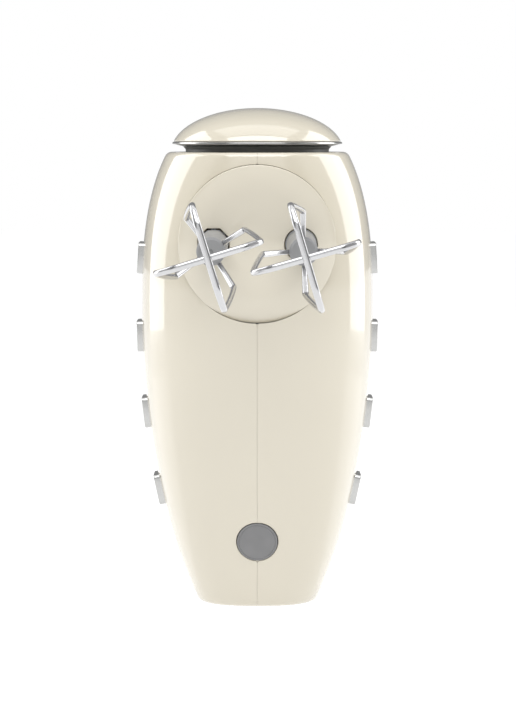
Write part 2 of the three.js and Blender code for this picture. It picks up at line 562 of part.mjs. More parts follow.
function motor() {
  const lead = WORM_STARTS * TOOTH_PITCH;
  const worm = loft(Array.from({ length: WORM_STATIONS + 1 }, (_, i) => {
    const z = THREE.MathUtils.lerp(...shifted(WORM.span, SPINDLE_Z), i / WORM_STATIONS);
    const turn = (2 * Math.PI * (z - SPINDLE_Z)) / lead;
    return toothedRing(WORM_STARTS, WORM_PITCH_RADIUS, WORM, turn, (x, y) => new THREE.Vector3(x, y, z));
  }));
  add("motor_shaft", union(rod("z", SHAFT.radius, SHAFT_Z), worm), STEEL);

  const around = (count, made) =>
    Array.from({ length: count }, (_, i) => placed(made, { turn: [0, 0, (360 * i) / count] }));
  const slots = around(ARMATURE.slots, box(
    [ARMATURE_RADIUS - ARMATURE.slotDepth, ARMATURE_RADIUS + 1], grown([0, 0], ARMATURE.slotWidth / 2),
    grown(STATOR.z, 1)));
  const shaftHole = rod("z", SHAFT.radius + FIT, SHAFT_Z);
  const core = rod("z", ARMATURE_RADIUS, STATOR.z, [0, 0], 2 * ARMATURE.slots);
  add("armature", cut(core, shaftHole, ...slots), STEEL);
  add("commutator", tube(COMMUTATOR.radius, SHAFT.radius + FIT, COMMUTATOR.z, "z"), COPPER);

  const blades = around(FAN.blades, box(
    [FAN.hub - 1, FAN.radius - 0.5], grown([0, 0], FAN.blade / 2), FAN.z));
  const disc = rod("z", FAN.radius, [FAN.z[0], FAN.z[0] + FAN.plate]);
  add("cooling_fan", cut(union(disc, rod("z", FAN.hub, FAN.z), ...blades), shaftHole), FRAME_GREY);

  const { width, depth, corner, bore } = STATOR;
  const stack = plate(roundedRectangle(width, depth, corner), STATOR.z, 3);
  const frontWindow = box(
    grown(COIL.x, GAP), grown([-COIL.halfY, COIL.bar - COIL.halfY], GAP), grown(STATOR.z, 1));
  const backWindow = placed(frontWindow, { at: [0, 2 * COIL.halfY - COIL.bar, 0] });
  const windows = [frontWindow, backWindow, mirrored(frontWindow), mirrored(backWindow)];
  add("motor_stator", cut(stack, rod("z", bore, grown(STATOR.z, 1)), ...windows), STEEL);

  const [coilLow, coilHigh] = grown(STATOR.z, COIL.overhang);
  const coil = cut(
    box(COIL.x, [-COIL.halfY, COIL.halfY], [coilLow, coilHigh]),
    box(grown(COIL.x, 1), grown([0, 0], COIL.halfY - COIL.bar), grown(STATOR.z, COIL.overhang - COIL.bar)));
  add("field_coil_right", coil, COPPER);
  add("field_coil_left", mirrored(coil), COPPER);

  const brushFrom = COMMUTATOR.radius + GAP;
  const brush = box([brushFrom, brushFrom + BRUSH.length], grown([0, 0], BRUSH.halfY), BRUSH.z);
  add("carbon_brush_right", brush, CARBON);
  add("carbon_brush_left", mirrored(brush), CARBON);

  const bracket = roundedRectangle(2 * BRACKET.halfX, 2 * BRACKET.halfY, BRACKET.corner);
  const bearingSeat = rod("z", BEARING_RADIUS + GAP, grown(BRACKET.z, 1));
  add("rear_bracket", cut(plate(bracket, BRACKET.z, 3), bearingSeat), FRAME_GREY);
  const bearing = (z) => tube(BEARING_RADIUS, SHAFT.radius + GAP, grown(z, -GAP), "z");
  add("rear_bearing", bearing(BRACKET.z), BRONZE);
  add("front_bearing", bearing(FRONT_WALL_Z), BRONZE);
}

// ---------------------------------------------------------------- gearbox
function gearbox() {
  const bushHoles = (y) =>
    [-SPINDLE_X, SPINDLE_X].map((x) => rod("y", BUSH_RADIUS + GAP, grown(y, 1), [x, SPINDLE_Z]));
  const wallY = [BASE.y[1] - 1, LID_Y[0] - GAP];
  const endWall = (z, hole) =>
    cut(box([-WALL_HALF_X, WALL_HALF_X], wallY, z), rod("z", hole + GAP, grown(z, 1)));
  add("gearbox_base", cut(union(
    rod("y", BASE_RADIUS, BASE.y, [0, SPINDLE_Z], WIDE_FACETS),
    endWall(REAR_WALL_Z, SHAFT.radius + GAP), endWall(FRONT_WALL_Z, BEARING_RADIUS)),
  ...bushHoles(BUSH.lowerY)), FRAME_GREY);
  const lidHalfX = SPINDLE_X + BUSH_RADIUS + GAP + LID.rim;
  const lid = box([-lidHalfX, lidHalfX], LID_Y, [REAR_WALL_Z[0], FRONT_WALL_Z[1]]);
  add("gearbox_lid", cut(lid, ...bushHoles(UPPER_BUSH_Y)), FRAME_GREY);

  const threadSlope = (WORM_STARTS * TOOTH_PITCH) / (2 * Math.PI * WORM_PITCH_RADIUS);
  const wheel = loft([0, 1].map((share) => {
    const y = THREE.MathUtils.lerp(...WHEEL.y, share);
    const turn = Math.PI / WHEEL_TEETH - (threadSlope * y) / WHEEL_PITCH_RADIUS;
    return toothedRing(WHEEL_TEETH, WHEEL_PITCH_RADIUS, WHEEL, turn, (x, z) => new THREE.Vector3(x, y, z));
  }));
  const slot = box(grown([0, 0], EARS_HALF_SPAN + EARS.play), [SPINDLE_Y[0] - 1, EARS.y[1] + EARS.play],
    grown([0, 0], EARS.thickness / 2 + EARS.play));
  const spindle = cut(turned([
    [SPINDLE_BORE, SPINDLE_Y[0]], [COLLAR_RADIUS, SPINDLE_Y[0]], [COLLAR_RADIUS, SPINDLE.collarY],
    [SPINDLE_RADIUS, SPINDLE.collarY], [SPINDLE_RADIUS, SPINDLE_Y[1]], [SPINDLE_BORE, SPINDLE_Y[1]],
  ]), slot);
  const boredWheel = cut(wheel, rod("y", SPINDLE_RADIUS + FIT, grown(WHEEL.y, 1)));
  for (const [side, x] of [["left", -SPINDLE_X], ["right", SPINDLE_X]]) {
    const axis = axisGroup(x);
    add(`lower_bush_${side}`, tube(BUSH_RADIUS, BUSH_BORE, BUSH.lowerY), BRONZE, axis);
    add(`upper_bush_${side}`, tube(BUSH_RADIUS, BUSH_BORE, UPPER_BUSH_Y), BRONZE, axis);
    add(`spindle_${side}`, spindle, STEEL, axis);
    add(`worm_wheel_${side}`, boredWheel, NYLON, axis);
  }
}

// ---------------------------------------------------------------- beaters
// One half of a wire loop: [distance from the beater's axis, Y, share of the twist], from the hub to the tip.
const WIRE_HALF = [
  [2.5, WIRE_EXIT_Y, 0],
  [HUB.end + 1, WIRE_EXIT_Y, 0],
  [HUB.end + 3.5, WIRE_EXIT_Y - 2, 0],
  [WIRE_BEND.radius - 2.2, WIRE_BEND.y + 5, 0],
  [WIRE_BEND.radius, WIRE_BEND.y, 0.03],
  [(WIRE_BEND.radius + WIRE_WIDEST.radius) / 2, (WIRE_BEND.y + WIRE_WIDEST.y) / 2, 0.5],
  [WIRE_WIDEST.radius, WIRE_WIDEST.y, 0.97],
  [WIRE_WIDEST.radius - 2.6, WIRE_WIDEST.y - 5.4, 1],
  [WIRE_WIDEST.radius * 0.55, WIRE_TIP_Y + 0.6, 1],
  [0, WIRE_TIP_Y, 1],
];

function wireLoop([bend, tip], lift) {
  const half = WIRE_HALF.map(([radius, y, share]) => {
    const angle = THREE.MathUtils.degToRad(bend + (tip - bend) * share);
    const raised = y + lift * Math.max(0, (WIRE_BEND.y - y) / (WIRE_BEND.y - WIRE_TIP_Y));
    return new THREE.Vector3(radius * Math.cos(angle), raised, radius * Math.sin(angle));
  });
  const other = half.slice(0, -1).reverse().map(({ x, y, z }) => new THREE.Vector3(-x, y, -z));
  return swept(new THREE.CatmullRomCurve3([...half, ...other]), WIRE_RADIUS, 28, 6);
}

function beater(side, x, collar) {
  const axis = axisGroup(x);
  const { top, end, y, collarLength } = HUB;
  const bore = rod("y", BEATER_SHAFT.radius + FIT, [BEATER_SHAFT.y[0] - FIT, 0]);
  const sleeve = turned([
    [0, y[0]], [end - 1, y[0]], [end, y[0] + 1.5],
    [top - 0.3, y[1] - collarLength], [top - 0.3, y[1]], [0, y[1]],
  ]);
  const wireHoles = Object.values(WIRE_ANGLES[side]).map(([bend]) =>
    placed(rod("x", WIRE_HOLE_RADIUS, [-top - 1, top + 1], [WIRE_EXIT_Y, 0], 8), { turn: [0, -bend, 0] }));
  add(`beater_${side}_hub`, cut(union(sleeve, collar), bore, ...wireHoles), HUB_GREY, axis);
  const ears = box(grown([0, 0], EARS_HALF_SPAN), EARS.y, grown([0, 0], EARS.thickness / 2));
  add(`beater_${side}_shaft`, union(rod("y", BEATER_SHAFT.radius, BEATER_SHAFT.y), ears), STEEL, axis);
  add(`beater_${side}_outer_wire`, wireLoop(WIRE_ANGLES[side].outer, 0), CHROME, axis);
  add(`beater_${side}_inner_wire`, wireLoop(WIRE_ANGLES[side].inner, INNER_LOOP_LIFT), CHROME, axis);
}

function beaters() {
  const collarY = [HUB.y[1] - HUB.collarLength, HUB.y[1]];
  const octagon = placed(rod("y", HUB.octagon, collarY, [0, 0], 8), { turn: [0, HALF_FLAT, 0] });
  beater("left", -SPINDLE_X, octagon);
  beater("right", SPINDLE_X, rod("y", HUB.round, collarY));
}

// ---------------------------------------------------------------- ejector and controls
function ejector() {
  const axis = axisGroup(0);
  const { halfX, corner, edge } = BUTTON;
  const outline = roundedRectangle(2 * halfX, 2 * BUTTON.halfZ, corner);
  const button = new THREE.ExtrudeGeometry(outline, {
    depth: BUTTON_Y[1] - BUTTON_Y[0] - 2 * edge, curveSegments: 4,
    bevelThickness: edge, bevelSize: edge, bevelOffset: -edge, bevelSegments: 2,
  });
  button.rotateX(-Math.PI / 2).translate(0, BUTTON_Y[0] + edge, 0);
  add("ejector_button", solid(button), DARK_GREY, axis);

  const { halfZ, stemHalfX, pin } = FORK;
  const plateY = shifted(FORK.plate, LID_Y[1]);
  const pinEndY = SPINDLE_Y[1] + FORK.pinGap;
  const plateHalfX = SPINDLE_X + FORK.plateEnd;
  add("ejector_fork", union(
    box([-stemHalfX, stemHalfX], [plateY[1] - 1, BUTTON_Y[0] - GAP], [-halfZ, halfZ]),
    box([-plateHalfX, plateHalfX], plateY, [-halfZ, halfZ]),
    rod("y", pin, [pinEndY, plateY[0] + 1], [-SPINDLE_X, 0]),
    rod("y", pin, [pinEndY, plateY[0] + 1], [SPINDLE_X, 0])), FRAME_GREY, axis);

  const [low, high] = [LID_Y[1] + SPRING.wire + GAP, plateY[0] - SPRING.wire - GAP];
  const coil = new THREE.Curve();
  coil.getPoint = (t) => {
    const angle = 2 * Math.PI * SPRING.turns * t;
    return new THREE.Vector3(
      SPRING.radius * Math.cos(angle), THREE.MathUtils.lerp(low, high, t), SPRING.radius * Math.sin(angle));
  };
  add("ejector_spring", swept(coil, SPRING.wire, 9 * SPRING.turns, 4), STEEL, axis);
}

function controls() {
  const keyHoles = Object.values(KEY_HEIGHTS).map((z) => rod("y", KEY_HOLE, [HANDLE_TOP_Y - 8, FAR], [0, z]));
  const hole = roundedRectangle(2 * (BUTTON.halfX + GAP), 2 * (BUTTON.halfZ + GAP), BUTTON.corner + GAP);
  const buttonHole = placed(plate(hole, [-FAR, -HANDLE_TOP_Y / 2]), {
    turn: [90, 0, 0], at: [0, 0, SPINDLE_Z],
  });
  add("control_panel", cut(
    panelStrip(PANEL.proud, WALL, PANEL.halfX, PANEL.fromZ, [0, PANEL.toAngle]),
    panelStrip(FAR / 10, DISPLAY.depth + GAP, DISPLAY.halfX + GAP, FAR, grown(DISPLAY.angles, 0.5)),
    buttonHole, ...keyHoles), SATIN);
  add("display_window", panelStrip(DISPLAY.proud, DISPLAY.depth, DISPLAY.halfX, FAR, DISPLAY.angles), BLACK);
  const boardY = shifted([0, BOARD.thickness], HANDLE_TOP_Y - BOARD.depth);
  add("control_board", box([-BOARD.halfX, BOARD.halfX], boardY, BOARD.z), BOARD_GREEN);

  const seat = HANDLE_TOP_Y - WALL - GAP;
  const face = HANDLE_TOP_Y + KEY.proud;
  const flange = KEY.radius + KEY.flange;
  for (const [name, z] of Object.entries(KEY_HEIGHTS)) {
    add(name, turned([
      [0, seat - KEY.flangeThickness], [flange, seat - KEY.flangeThickness], [flange, seat],
      [KEY.radius, seat], [KEY.radius, face - 0.6], [KEY.radius - 0.6, face], [0, face],
    ]), DARK_GREY).position.z = z;
  }
}

casing();
bossCover();
nose();
motor();
gearbox();
beaters();
ejector();
controls();

export default root;
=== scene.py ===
"""The looks of a hand mixer that stands on its heel: glossy cream casing, polished wires, grey plastics.

Shapes are worked out in millimetres, and a mesh is turned into metres as it is made. +Z is up to the nose,
-Y is the way the beaters point, and +Y is the handle side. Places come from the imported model's nodes.
"""
import json
import math
import bpy
import numpy as np
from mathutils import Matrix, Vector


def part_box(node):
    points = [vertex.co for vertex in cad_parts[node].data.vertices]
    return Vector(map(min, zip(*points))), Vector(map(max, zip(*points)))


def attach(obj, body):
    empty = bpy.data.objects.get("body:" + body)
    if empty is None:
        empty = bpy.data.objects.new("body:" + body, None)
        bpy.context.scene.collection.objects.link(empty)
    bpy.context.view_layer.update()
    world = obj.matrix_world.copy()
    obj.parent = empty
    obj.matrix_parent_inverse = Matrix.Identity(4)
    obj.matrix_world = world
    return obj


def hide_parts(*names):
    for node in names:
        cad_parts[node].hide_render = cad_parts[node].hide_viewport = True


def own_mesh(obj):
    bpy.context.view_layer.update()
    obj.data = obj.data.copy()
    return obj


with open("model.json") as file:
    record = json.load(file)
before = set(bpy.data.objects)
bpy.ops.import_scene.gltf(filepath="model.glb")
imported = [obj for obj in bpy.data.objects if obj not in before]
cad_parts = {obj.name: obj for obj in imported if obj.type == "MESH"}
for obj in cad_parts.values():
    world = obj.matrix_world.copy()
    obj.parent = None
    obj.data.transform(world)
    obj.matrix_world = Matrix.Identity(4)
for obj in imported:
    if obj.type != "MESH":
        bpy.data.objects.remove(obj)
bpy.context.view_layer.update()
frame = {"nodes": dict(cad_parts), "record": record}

MM = 0.001


# ---- places
def corners(node):
    """Lowest and highest corner of a CAD node, in millimetres."""
    low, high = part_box(node)
    return np.array(low) / MM, np.array(high) / MM


def middle(node):
    low, high = corners(node)
    return (low + high) / 2


def span(node, axis):
    """Where a CAD node starts and ends along X, Y or Z."""
    low, high = corners(node)
    index = "xyz".index(axis)
    return low[index], high[index]


SPINDLE_X, _, SPINDLE_Z = middle("spindle_right")
CASING_LOW, CASING_HIGH = corners("right_shell")
HEEL_Z = CASING_LOW[2]
FRONT_Z = CASING_HIGH[2]
HANDLE_TOP_Y = CASING_HIGH[1]
BOSS_RADIUS = span("boss_cover", "x")[1]
BOSS_FACE_Y = span("boss_cover", "y")[0]

# ---- sizes
# The casing's form. An arc is the length and power of a superellipse.
HALF_WIDTH = 47.7
WIDEST_Z = 120.0
LOWER_WIDTH_ARC = (143.4, 1.85)
UPPER_WIDTH_ARC = (86.3, 2.65)
BELLY_Z = 118.0
BELLY_DEPTH = 42.0
BELLY_RADIUS = 320.0
UPPER_BELLY_ARC = (110.0, 2.65)
BACK_DEPTH = 38.0
BACK_RADIUS = 640.0
SECTION_POWER = 2.35
NOSE_ROUND_Z = 150.0  # from here to the front the body's section turns from squarish to round

HANDLE_HALF_WIDTH = 17.5
HANDLE_ROUNDING = 12.0
HANDLE_REAR_CORNER = 16.0
HANDLE_FRONT_CORNER = 45.0
HANDLE_Y = (-6.0, HANDLE_TOP_Y)
HANDLE_Z = (-6.0, FRONT_Z - 2.0)
OPENING_Y = (30.0, 84.0)
OPENING_Z = (38.0, 138.0)
OPENING_CORNERS = (5.0, 18.0)  # at the body and at the grip
HANDLE_BLEND = 12.0  # how softly the handle grows out of the body
CORNER_Y = HANDLE_TOP_Y - HANDLE_FRONT_CORNER  # centre of the handle's front corner
CORNER_Z = HANDLE_Z[1] - HANDLE_FRONT_CORNER
ROUND_CORNERS_Y = CORNER_Y - 20.0  # the handle's corners in front of this are inside the body, and sharp
SHARP_CORNER = 1.0

BOSS_FLAT_RADIUS = 21.0  # the boss's face is flat inside this, and falls off gently outside it
BOSS_FALL = 0.0185
BOSS_EXTRA_FALL = 0.0025  # at its foot, where it comes back to the belly
BOSS_SIDE_RADIUS = BOSS_RADIUS - 0.3
BOSS_FOOT = (12.0, 32.0)  # how far below the spindles its foot starts, and is reached in full
OPEN_SEAM_ANGLE = math.radians(-37.6)  # the boss's seam is open above this, and nearly shut below
OPEN_SEAM_BLEND = (-0.12, 0.03)  # angles about that one over which it opens

WALL = 1.7
GAP = 0.3  # between two pieces of the casing
EDGE = 0.25  # rounding of the edges along a gap
END_ROUNDING = 1.6  # of the casing's two end faces
FAR = 999.0


# ---- fields
# A field says how far points lie outside a form, in millimetres; inside it is negative.
def length(*parts):
    return np.sqrt(sum(part * part for part in parts))


def rounded_meeting(a, b, radius):
    """The common part of two fields, with the edge where they meet rounded."""
    a, b = a + radius, b + radius
    return np.minimum(np.maximum(a, b), 0) + length(np.maximum(a, 0), np.maximum(b, 0)) - radius


def blended(a, b, blend):
    """Both fields' forms as one, with a soft fillet between them."""
    share = np.clip(0.5 + 0.5 * (b - a) / blend, 0, 1)
    return b + (a - b) * share - blend * share * (1 - share)


def rounded_box(u, v, u_span, v_span, corner):
    """Distance to a flat rounded rectangle; corner may differ from point to point."""
    du = np.abs(u - sum(u_span) / 2) - (u_span[1] - u_span[0]) / 2 + corner
    dv = np.abs(v - sum(v_span) / 2) - (v_span[1] - v_span[0]) / 2 + corner
    return np.minimum(np.maximum(du, dv), 0) + length(np.maximum(du, 0), np.maximum(dv, 0)) - corner


def remaining(distance, arc):
    """What is left of a superellipse arc at a distance from its start."""
    share = np.clip(distance, 0, None) / arc[0]
    return np.maximum(1 - share ** arc[1], 1e-6) ** (1 / arc[1])


def half_width(z):
    """How far the body reaches to each side at a height."""
    return HALF_WIDTH * np.where(
        z < WIDEST_Z, remaining(WIDEST_Z - z, LOWER_WIDTH_ARC), remaining(z - WIDEST_Z, UPPER_WIDTH_ARC))


def drop(distance, radius):
    """How far an arc has fallen at a distance from its highest point."""
    return radius - np.sqrt(radius ** 2 - distance ** 2)


def belly_depth(z):
    lower = BELLY_DEPTH - drop(np.minimum(z - BELLY_Z, 0), BELLY_RADIUS)
    return np.where(z < BELLY_Z, lower, BELLY_DEPTH * remaining(z - BELLY_Z, UPPER_BELLY_ARC))


def body_field(x, y, z):
    depth = np.where(y < 0, belly_depth(z), BACK_DEPTH - drop(z - BELLY_Z, BACK_RADIUS))
    rounding = np.clip((z - NOSE_ROUND_Z) / (FRONT_Z - NOSE_ROUND_Z), 0, 1)
    power = SECTION_POWER + (2 - SECTION_POWER) * rounding
    size = ((np.abs(x) / half_width(z)) ** power + (np.abs(y) / depth) ** power) ** (1 / power) + 1e-9
    return length(x, y) * (1 - 1 / size)


def handle_outline(y, z):
    """Distance to the handle's side outline, its finger opening left out."""
    round_corner = np.where(z > sum(HANDLE_Z) / 2, HANDLE_FRONT_CORNER, HANDLE_REAR_CORNER)
    corner = np.where(y > ROUND_CORNERS_Y, round_corner, SHARP_CORNER)
    opening_corner = np.where(y > sum(OPENING_Y) / 2, OPENING_CORNERS[1], OPENING_CORNERS[0])
    opening = rounded_box(y, z, OPENING_Y, OPENING_Z, opening_corner)
    return np.maximum(rounded_box(y, z, HANDLE_Y, HANDLE_Z, corner), -opening)


def handle_field(x, y, z):
    return rounded_meeting(handle_outline(y, z), np.abs(x) - HANDLE_HALF_WIDTH, HANDLE_ROUNDING)


def soft_step(value, low, high):
    """From 0 at low to 1 at high, without a corner at either end."""
    share = np.clip((value - low) / (high - low), 0, 1)
    return share * share * (3 - 2 * share)


def boss_seam_open(x, z):
    """How open the boss's seam is, from 0 to 1."""
    angle = np.arctan2(z - SPINDLE_Z, np.abs(x))
    return soft_step(angle - OPEN_SEAM_ANGLE, *OPEN_SEAM_BLEND)


def boss_field(x, y, z):
    """The boss's face, without its side."""
    radius = length(x, z - SPINDLE_Z)
    fall = BOSS_FALL + BOSS_EXTRA_FALL * soft_step(SPINDLE_Z - z, *BOSS_FOOT)
    return BOSS_FACE_Y + fall * np.clip(radius - BOSS_FLAT_RADIUS, 0, 20) ** 2 - y


def casing_field(points):
    x, y, z = points.T
    form = blended(body_field(x, y, z), handle_field(x, y, z), HANDLE_BLEND)
    form = rounded_meeting(form, z - FRONT_Z, END_ROUNDING)
    return rounded_meeting(form, HEEL_Z - z, END_ROUNDING)


def gradient(field, points, step=0.02):
    """Direction in which a field grows fastest, of length one."""
    slopes = [field(points + step * axis) - field(points - step * axis) for axis in np.eye(3)]
    slopes = np.stack(slopes, axis=1)
    return slopes / np.maximum(np.linalg.norm(slopes, axis=1, keepdims=True), 1e-12)


# ---- skins
def polygonised(field, low, high, step):
    """Triangles on a field's zero surface: a point in each crossed cell of a grid, joined across edges."""
    counts = [int(math.ceil((b - a) / step)) + 1 for a, b in zip(low, high)]
    axes = [low[i] + step * np.arange(counts[i]) for i in range(3)]
    grid = np.stack(np.meshgrid(*axes, indexing="ij"), axis=-1).reshape(-1, 3)
    values = field(grid).reshape(counts)
    inside = values < 0
    cells = tuple(n - 1 for n in counts)
    total, hits = np.zeros(cells + (3,)), np.zeros(cells)

    def cells_round(crossed, axis):
        """The four cells round each crossed edge of the grid, and which of them the grid has."""
        u, v = [i for i in range(3) if i != axis]
        for du, dv in ((0, 0), (1, 0), (1, 1), (0, 1)):
            cell = crossed.copy()
            cell[:, u] -= du
            cell[:, v] -= dv
            yield cell, ((cell >= 0) & (cell < cells)).all(axis=1)

    edges = []
    for axis in range(3):
        first = [slice(None)] * 3
        second = [slice(None)] * 3
        first[axis], second[axis] = slice(0, -1), slice(1, None)
        a, b = values[tuple(first)], values[tuple(second)]
        crossed = np.argwhere(inside[tuple(first)] != inside[tuple(second)])
        share = a[tuple(crossed.T)] / (a[tuple(crossed.T)] - b[tuple(crossed.T)])
        place = crossed.astype(float)
        place[:, axis] += share
        for cell, good in cells_round(crossed, axis):
            np.add.at(total, tuple(cell[good].T), place[good])
            np.add.at(hits, tuple(cell[good].T), 1)
        edges.append((axis, crossed, inside[tuple(first)][tuple(crossed.T)]))
    used = hits > 0
    number = -np.ones(cells, int)
    number[used] = np.arange(used.sum())
    points = np.array(low) + step * total[used] / hits[used][:, None]
    triangles = []
    for axis, crossed, starts_inside in edges:
        ring = [np.where(good, number[tuple(np.clip(cell, 0, np.array(cells) - 1).T)], -1)
                for cell, good in cells_round(crossed, axis)]
        ring = np.stack(ring, axis=1)
        whole = (ring >= 0).all(axis=1)
        flip = starts_inside != (axis == 1)
        ring = np.where(flip[:, None], ring, ring[:, ::-1])[whole]
        triangles += [ring[:, [0, 1, 2]], ring[:, [0, 2, 3]]]
    return points, np.concatenate(triangles)


def settled(points, fields, rounds=5):
    """Points moved until every one of the given fields is zero there."""
    points = points.copy()
    for _ in range(rounds):
        for field in fields:
            points -= 0.9 * field(points)[:, None] * gradient(field, points)
    return points


def clipped(points, triangles, skin, keep, step):
    """The part of a skin where keep is positive, cut along keep's zero line.

    Points that are already near the line are moved onto it, so that no thin triangles are left.
    """
    reach = keep(points)
    near = np.abs(reach) < 0.22 * step
    if near.any():
        points = points.copy()
        points[near] = settled(points[near], [keep, skin], 4)
        reach = np.where(near, 0.0, keep(points))
    sign = np.where(reach > 1e-9, 1, np.where(reach < -1e-9, -1, 0))
    corner_signs = sign[triangles]
    whole = triangles[(corner_signs >= 0).all(axis=1) & (corner_signs > 0).any(axis=1)]
    mixed = triangles[(corner_signs > 0).any(axis=1) & (corner_signs < 0).any(axis=1)]
    made, starts, ends, new = {}, [], [], []

    def between(a, b):
        key = (a, b) if a < b else (b, a)
        if key not in made:
            made[key] = len(points) + len(starts)
            starts.append(key[0])
            ends.append(key[1])
        return made[key]

    for triangle in mixed.tolist():
        kept = []
        for a, b in zip(triangle, triangle[1:] + triangle[:1]):
            if sign[a] >= 0:
                kept.append(a)
            if sign[a] * sign[b] < 0:
                kept.append(between(a, b))
        new += [(kept[0], kept[i], kept[i + 1]) for i in range(1, len(kept) - 1)]
    if starts:
        a, b = np.array(starts), np.array(ends)
        share = (reach[a] / (reach[a] - reach[b]))[:, None]
        fresh = settled(points[a] + share * (points[b] - points[a]), [keep, skin], 4)
        points = np.concatenate([points, fresh])
        whole = np.concatenate([whole, np.array(new)])
    used, numbers = np.unique(whole, return_inverse=True)
    return points[used], numbers.reshape(-1, 3)


def open_edges(triangles):
    """Edges with a triangle on one side only, in that triangle's order."""
    edges = np.concatenate([triangles[:, [0, 1]], triangles[:, [1, 2]], triangles[:, [2, 0]]])
    size = triangles.max() + 1
    codes = edges[:, 0] * size + edges[:, 1]
    return edges[~np.isin(codes, edges[:, 1] * size + edges[:, 0])]


def walled(points, triangles, skin, keep, wall, edge, edge_steps=3):
    """A skin as a closed wall: rounded edges round each opening, sides, and an inner face.

    Gives its points, its triangles, and the normal at each triangle corner.
    """
    normals = gradient(skin, points)
    rim = open_edges(triangles)
    rim_points = np.unique(rim)
    slope = -gradient(keep, points[rim_points])
    n = normals[rim_points]
    slope -= np.sum(slope * n, axis=1, keepdims=True) * n
    slope /= np.maximum(np.linalg.norm(slope, axis=1, keepdims=True), 1e-9)
    place = -np.ones(len(points), int)
    place[rim_points] = np.arange(len(rim_points))
    layers, layer_normals = [points[rim_points]], [n]
    size = edge(points[rim_points])[:, None]
    for step in range(1, edge_steps + 1):
        angle = step / edge_steps * math.pi / 2
        layers.append(points[rim_points] + size * (math.sin(angle) * slope - (1 - math.cos(angle)) * n))
        layer_normals.append(math.sin(angle) * slope + math.cos(angle) * n)
    layers.append(points[rim_points] + size * slope - wall * n)
    layer_normals.append(slope)
    inner = points - wall * normals
    inner[rim_points] = layers[-1]
    all_points = [points] + layers[1:-1] + [inner]
    bases = np.cumsum([0] + [len(p) for p in all_points])
    index = [np.arange(len(points))[rim_points]]
    index += [bases[i] + np.arange(len(rim_points)) for i in range(1, edge_steps + 1)]
    index.append(bases[edge_steps + 1] + rim_points)
    faces, corners_normals = [triangles], [normals[triangles]]
    a, b = place[rim[:, 0]], place[rim[:, 1]]
    for k in range(len(index) - 1):
        upper, lower = index[k], index[k + 1]
        nu, nl = layer_normals[k], layer_normals[k + 1]
        faces += [np.stack([upper[b], upper[a], lower[a]], 1), np.stack([upper[b], lower[a], lower[b]], 1)]
        corners_normals += [np.stack([nu[b], nu[a], nl[a]], 1), np.stack([nu[b], nl[a], nl[b]], 1)]
    turned = triangles[:, ::-1]
    faces.append(turned + bases[edge_steps + 1])
    corners_normals.append(-normals[turned])
    return np.concatenate(all_points), np.concatenate(faces), np.concatenate(corners_normals)


def skin_part(skin, keep, low, high, step, wall, edge, first_cuts=()):
    """A closed wall over the part of a skin that keep says; keep leaves room for the rounded edge.

    A part that has corners is first cut along one of the lines that meet there.
    """
    points, triangles = polygonised(skin, low, high, step)
    points = settled(points, [skin], 3)
    for cut in (*first_cuts, keep):
        points, triangles = clipped(points, triangles, skin, cut, step)
    return walled(points, triangles, skin, keep, wall, edge)


def mirrored(part):
    """A walled part's other-handed twin."""
    points, triangles, normals = part
    flip = np.array([-1.0, 1.0, 1.0])
    return points * flip, triangles[:, ::-1], normals[:, ::-1] * flip


# ---- meshes
def show(name, body, slot, nodes, points, faces, normals=None, sharp=35):
    """Makes a piece of millimetre points, puts it on its body and gives it its finish."""
    mesh = bpy.data.meshes.new(name)
    mesh.from_pydata((np.asarray(points) * MM).tolist(), [], [list(map(int, f)) for f in faces])
    mesh.shade_smooth()
    if normals is None:
        mesh.set_sharp_from_angle(angle=math.radians(sharp))
    else:
        mesh.normals_split_custom_set(np.asarray(normals).reshape(-1, 3).tolist())
    mesh.materials.append(finishes[slot])
    piece = bpy.data.objects.new(name, mesh)
    bpy.context.scene.collection.objects.link(piece)
    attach(piece, body)
    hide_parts(*nodes)
    return piece


# ---- solids
def outward(points, faces):
    """The same faces, turned over if they point into the solid."""
    points = np.asarray(points, float)
    volume = 0.0
    for face in faces:
        for b, c in zip(face[1:], face[2:]):
            volume += points[face[0]] @ np.cross(points[b], points[c])
    return points, faces if volume > 0 else [tuple(reversed(face)) for face in faces]


def merged(*parts):
    """Several solids as one mesh."""
    points, faces = [], []
    for part_points, part_faces in parts:
        base = sum(len(p) for p in points)
        points.append(np.asarray(part_points, float))
        faces += [tuple(i + base for i in face) for face in part_faces]
    return np.concatenate(points), faces


def softened(outline, closed=True, steps=4):
    """Points of an outline given as (u, v, corner radius), with its corners rounded."""
    made = []
    count = len(outline)
    for i, (u, v, radius) in enumerate(outline):
        point = np.array([u, v], float)
        if not radius or (not closed and i in (0, count - 1)):
            made.append(point)
            continue
        before = np.array(outline[i - 1][:2]) - point
        after = np.array(outline[(i + 1) % count][:2]) - point
        reach_before, reach_after = np.linalg.norm(before), np.linalg.norm(after)
        before, after = before / reach_before, after / reach_after
        half = math.acos(np.clip(before @ after, -1, 1)) / 2
        reach = min(radius / math.tan(half), 0.49 * reach_before, 0.49 * reach_after)
        turn = math.pi - 2 * half
        centre = point + (before + after) / np.linalg.norm(before + after) * reach / math.cos(half)
        start, end = point + before * reach - centre, point + after * reach - centre
        for step in range(steps + 1):
            share = step / steps
            made.append(centre + (
                math.sin((1 - share) * turn) * start + math.sin(share * turn) * end) / math.sin(turn))
    return made


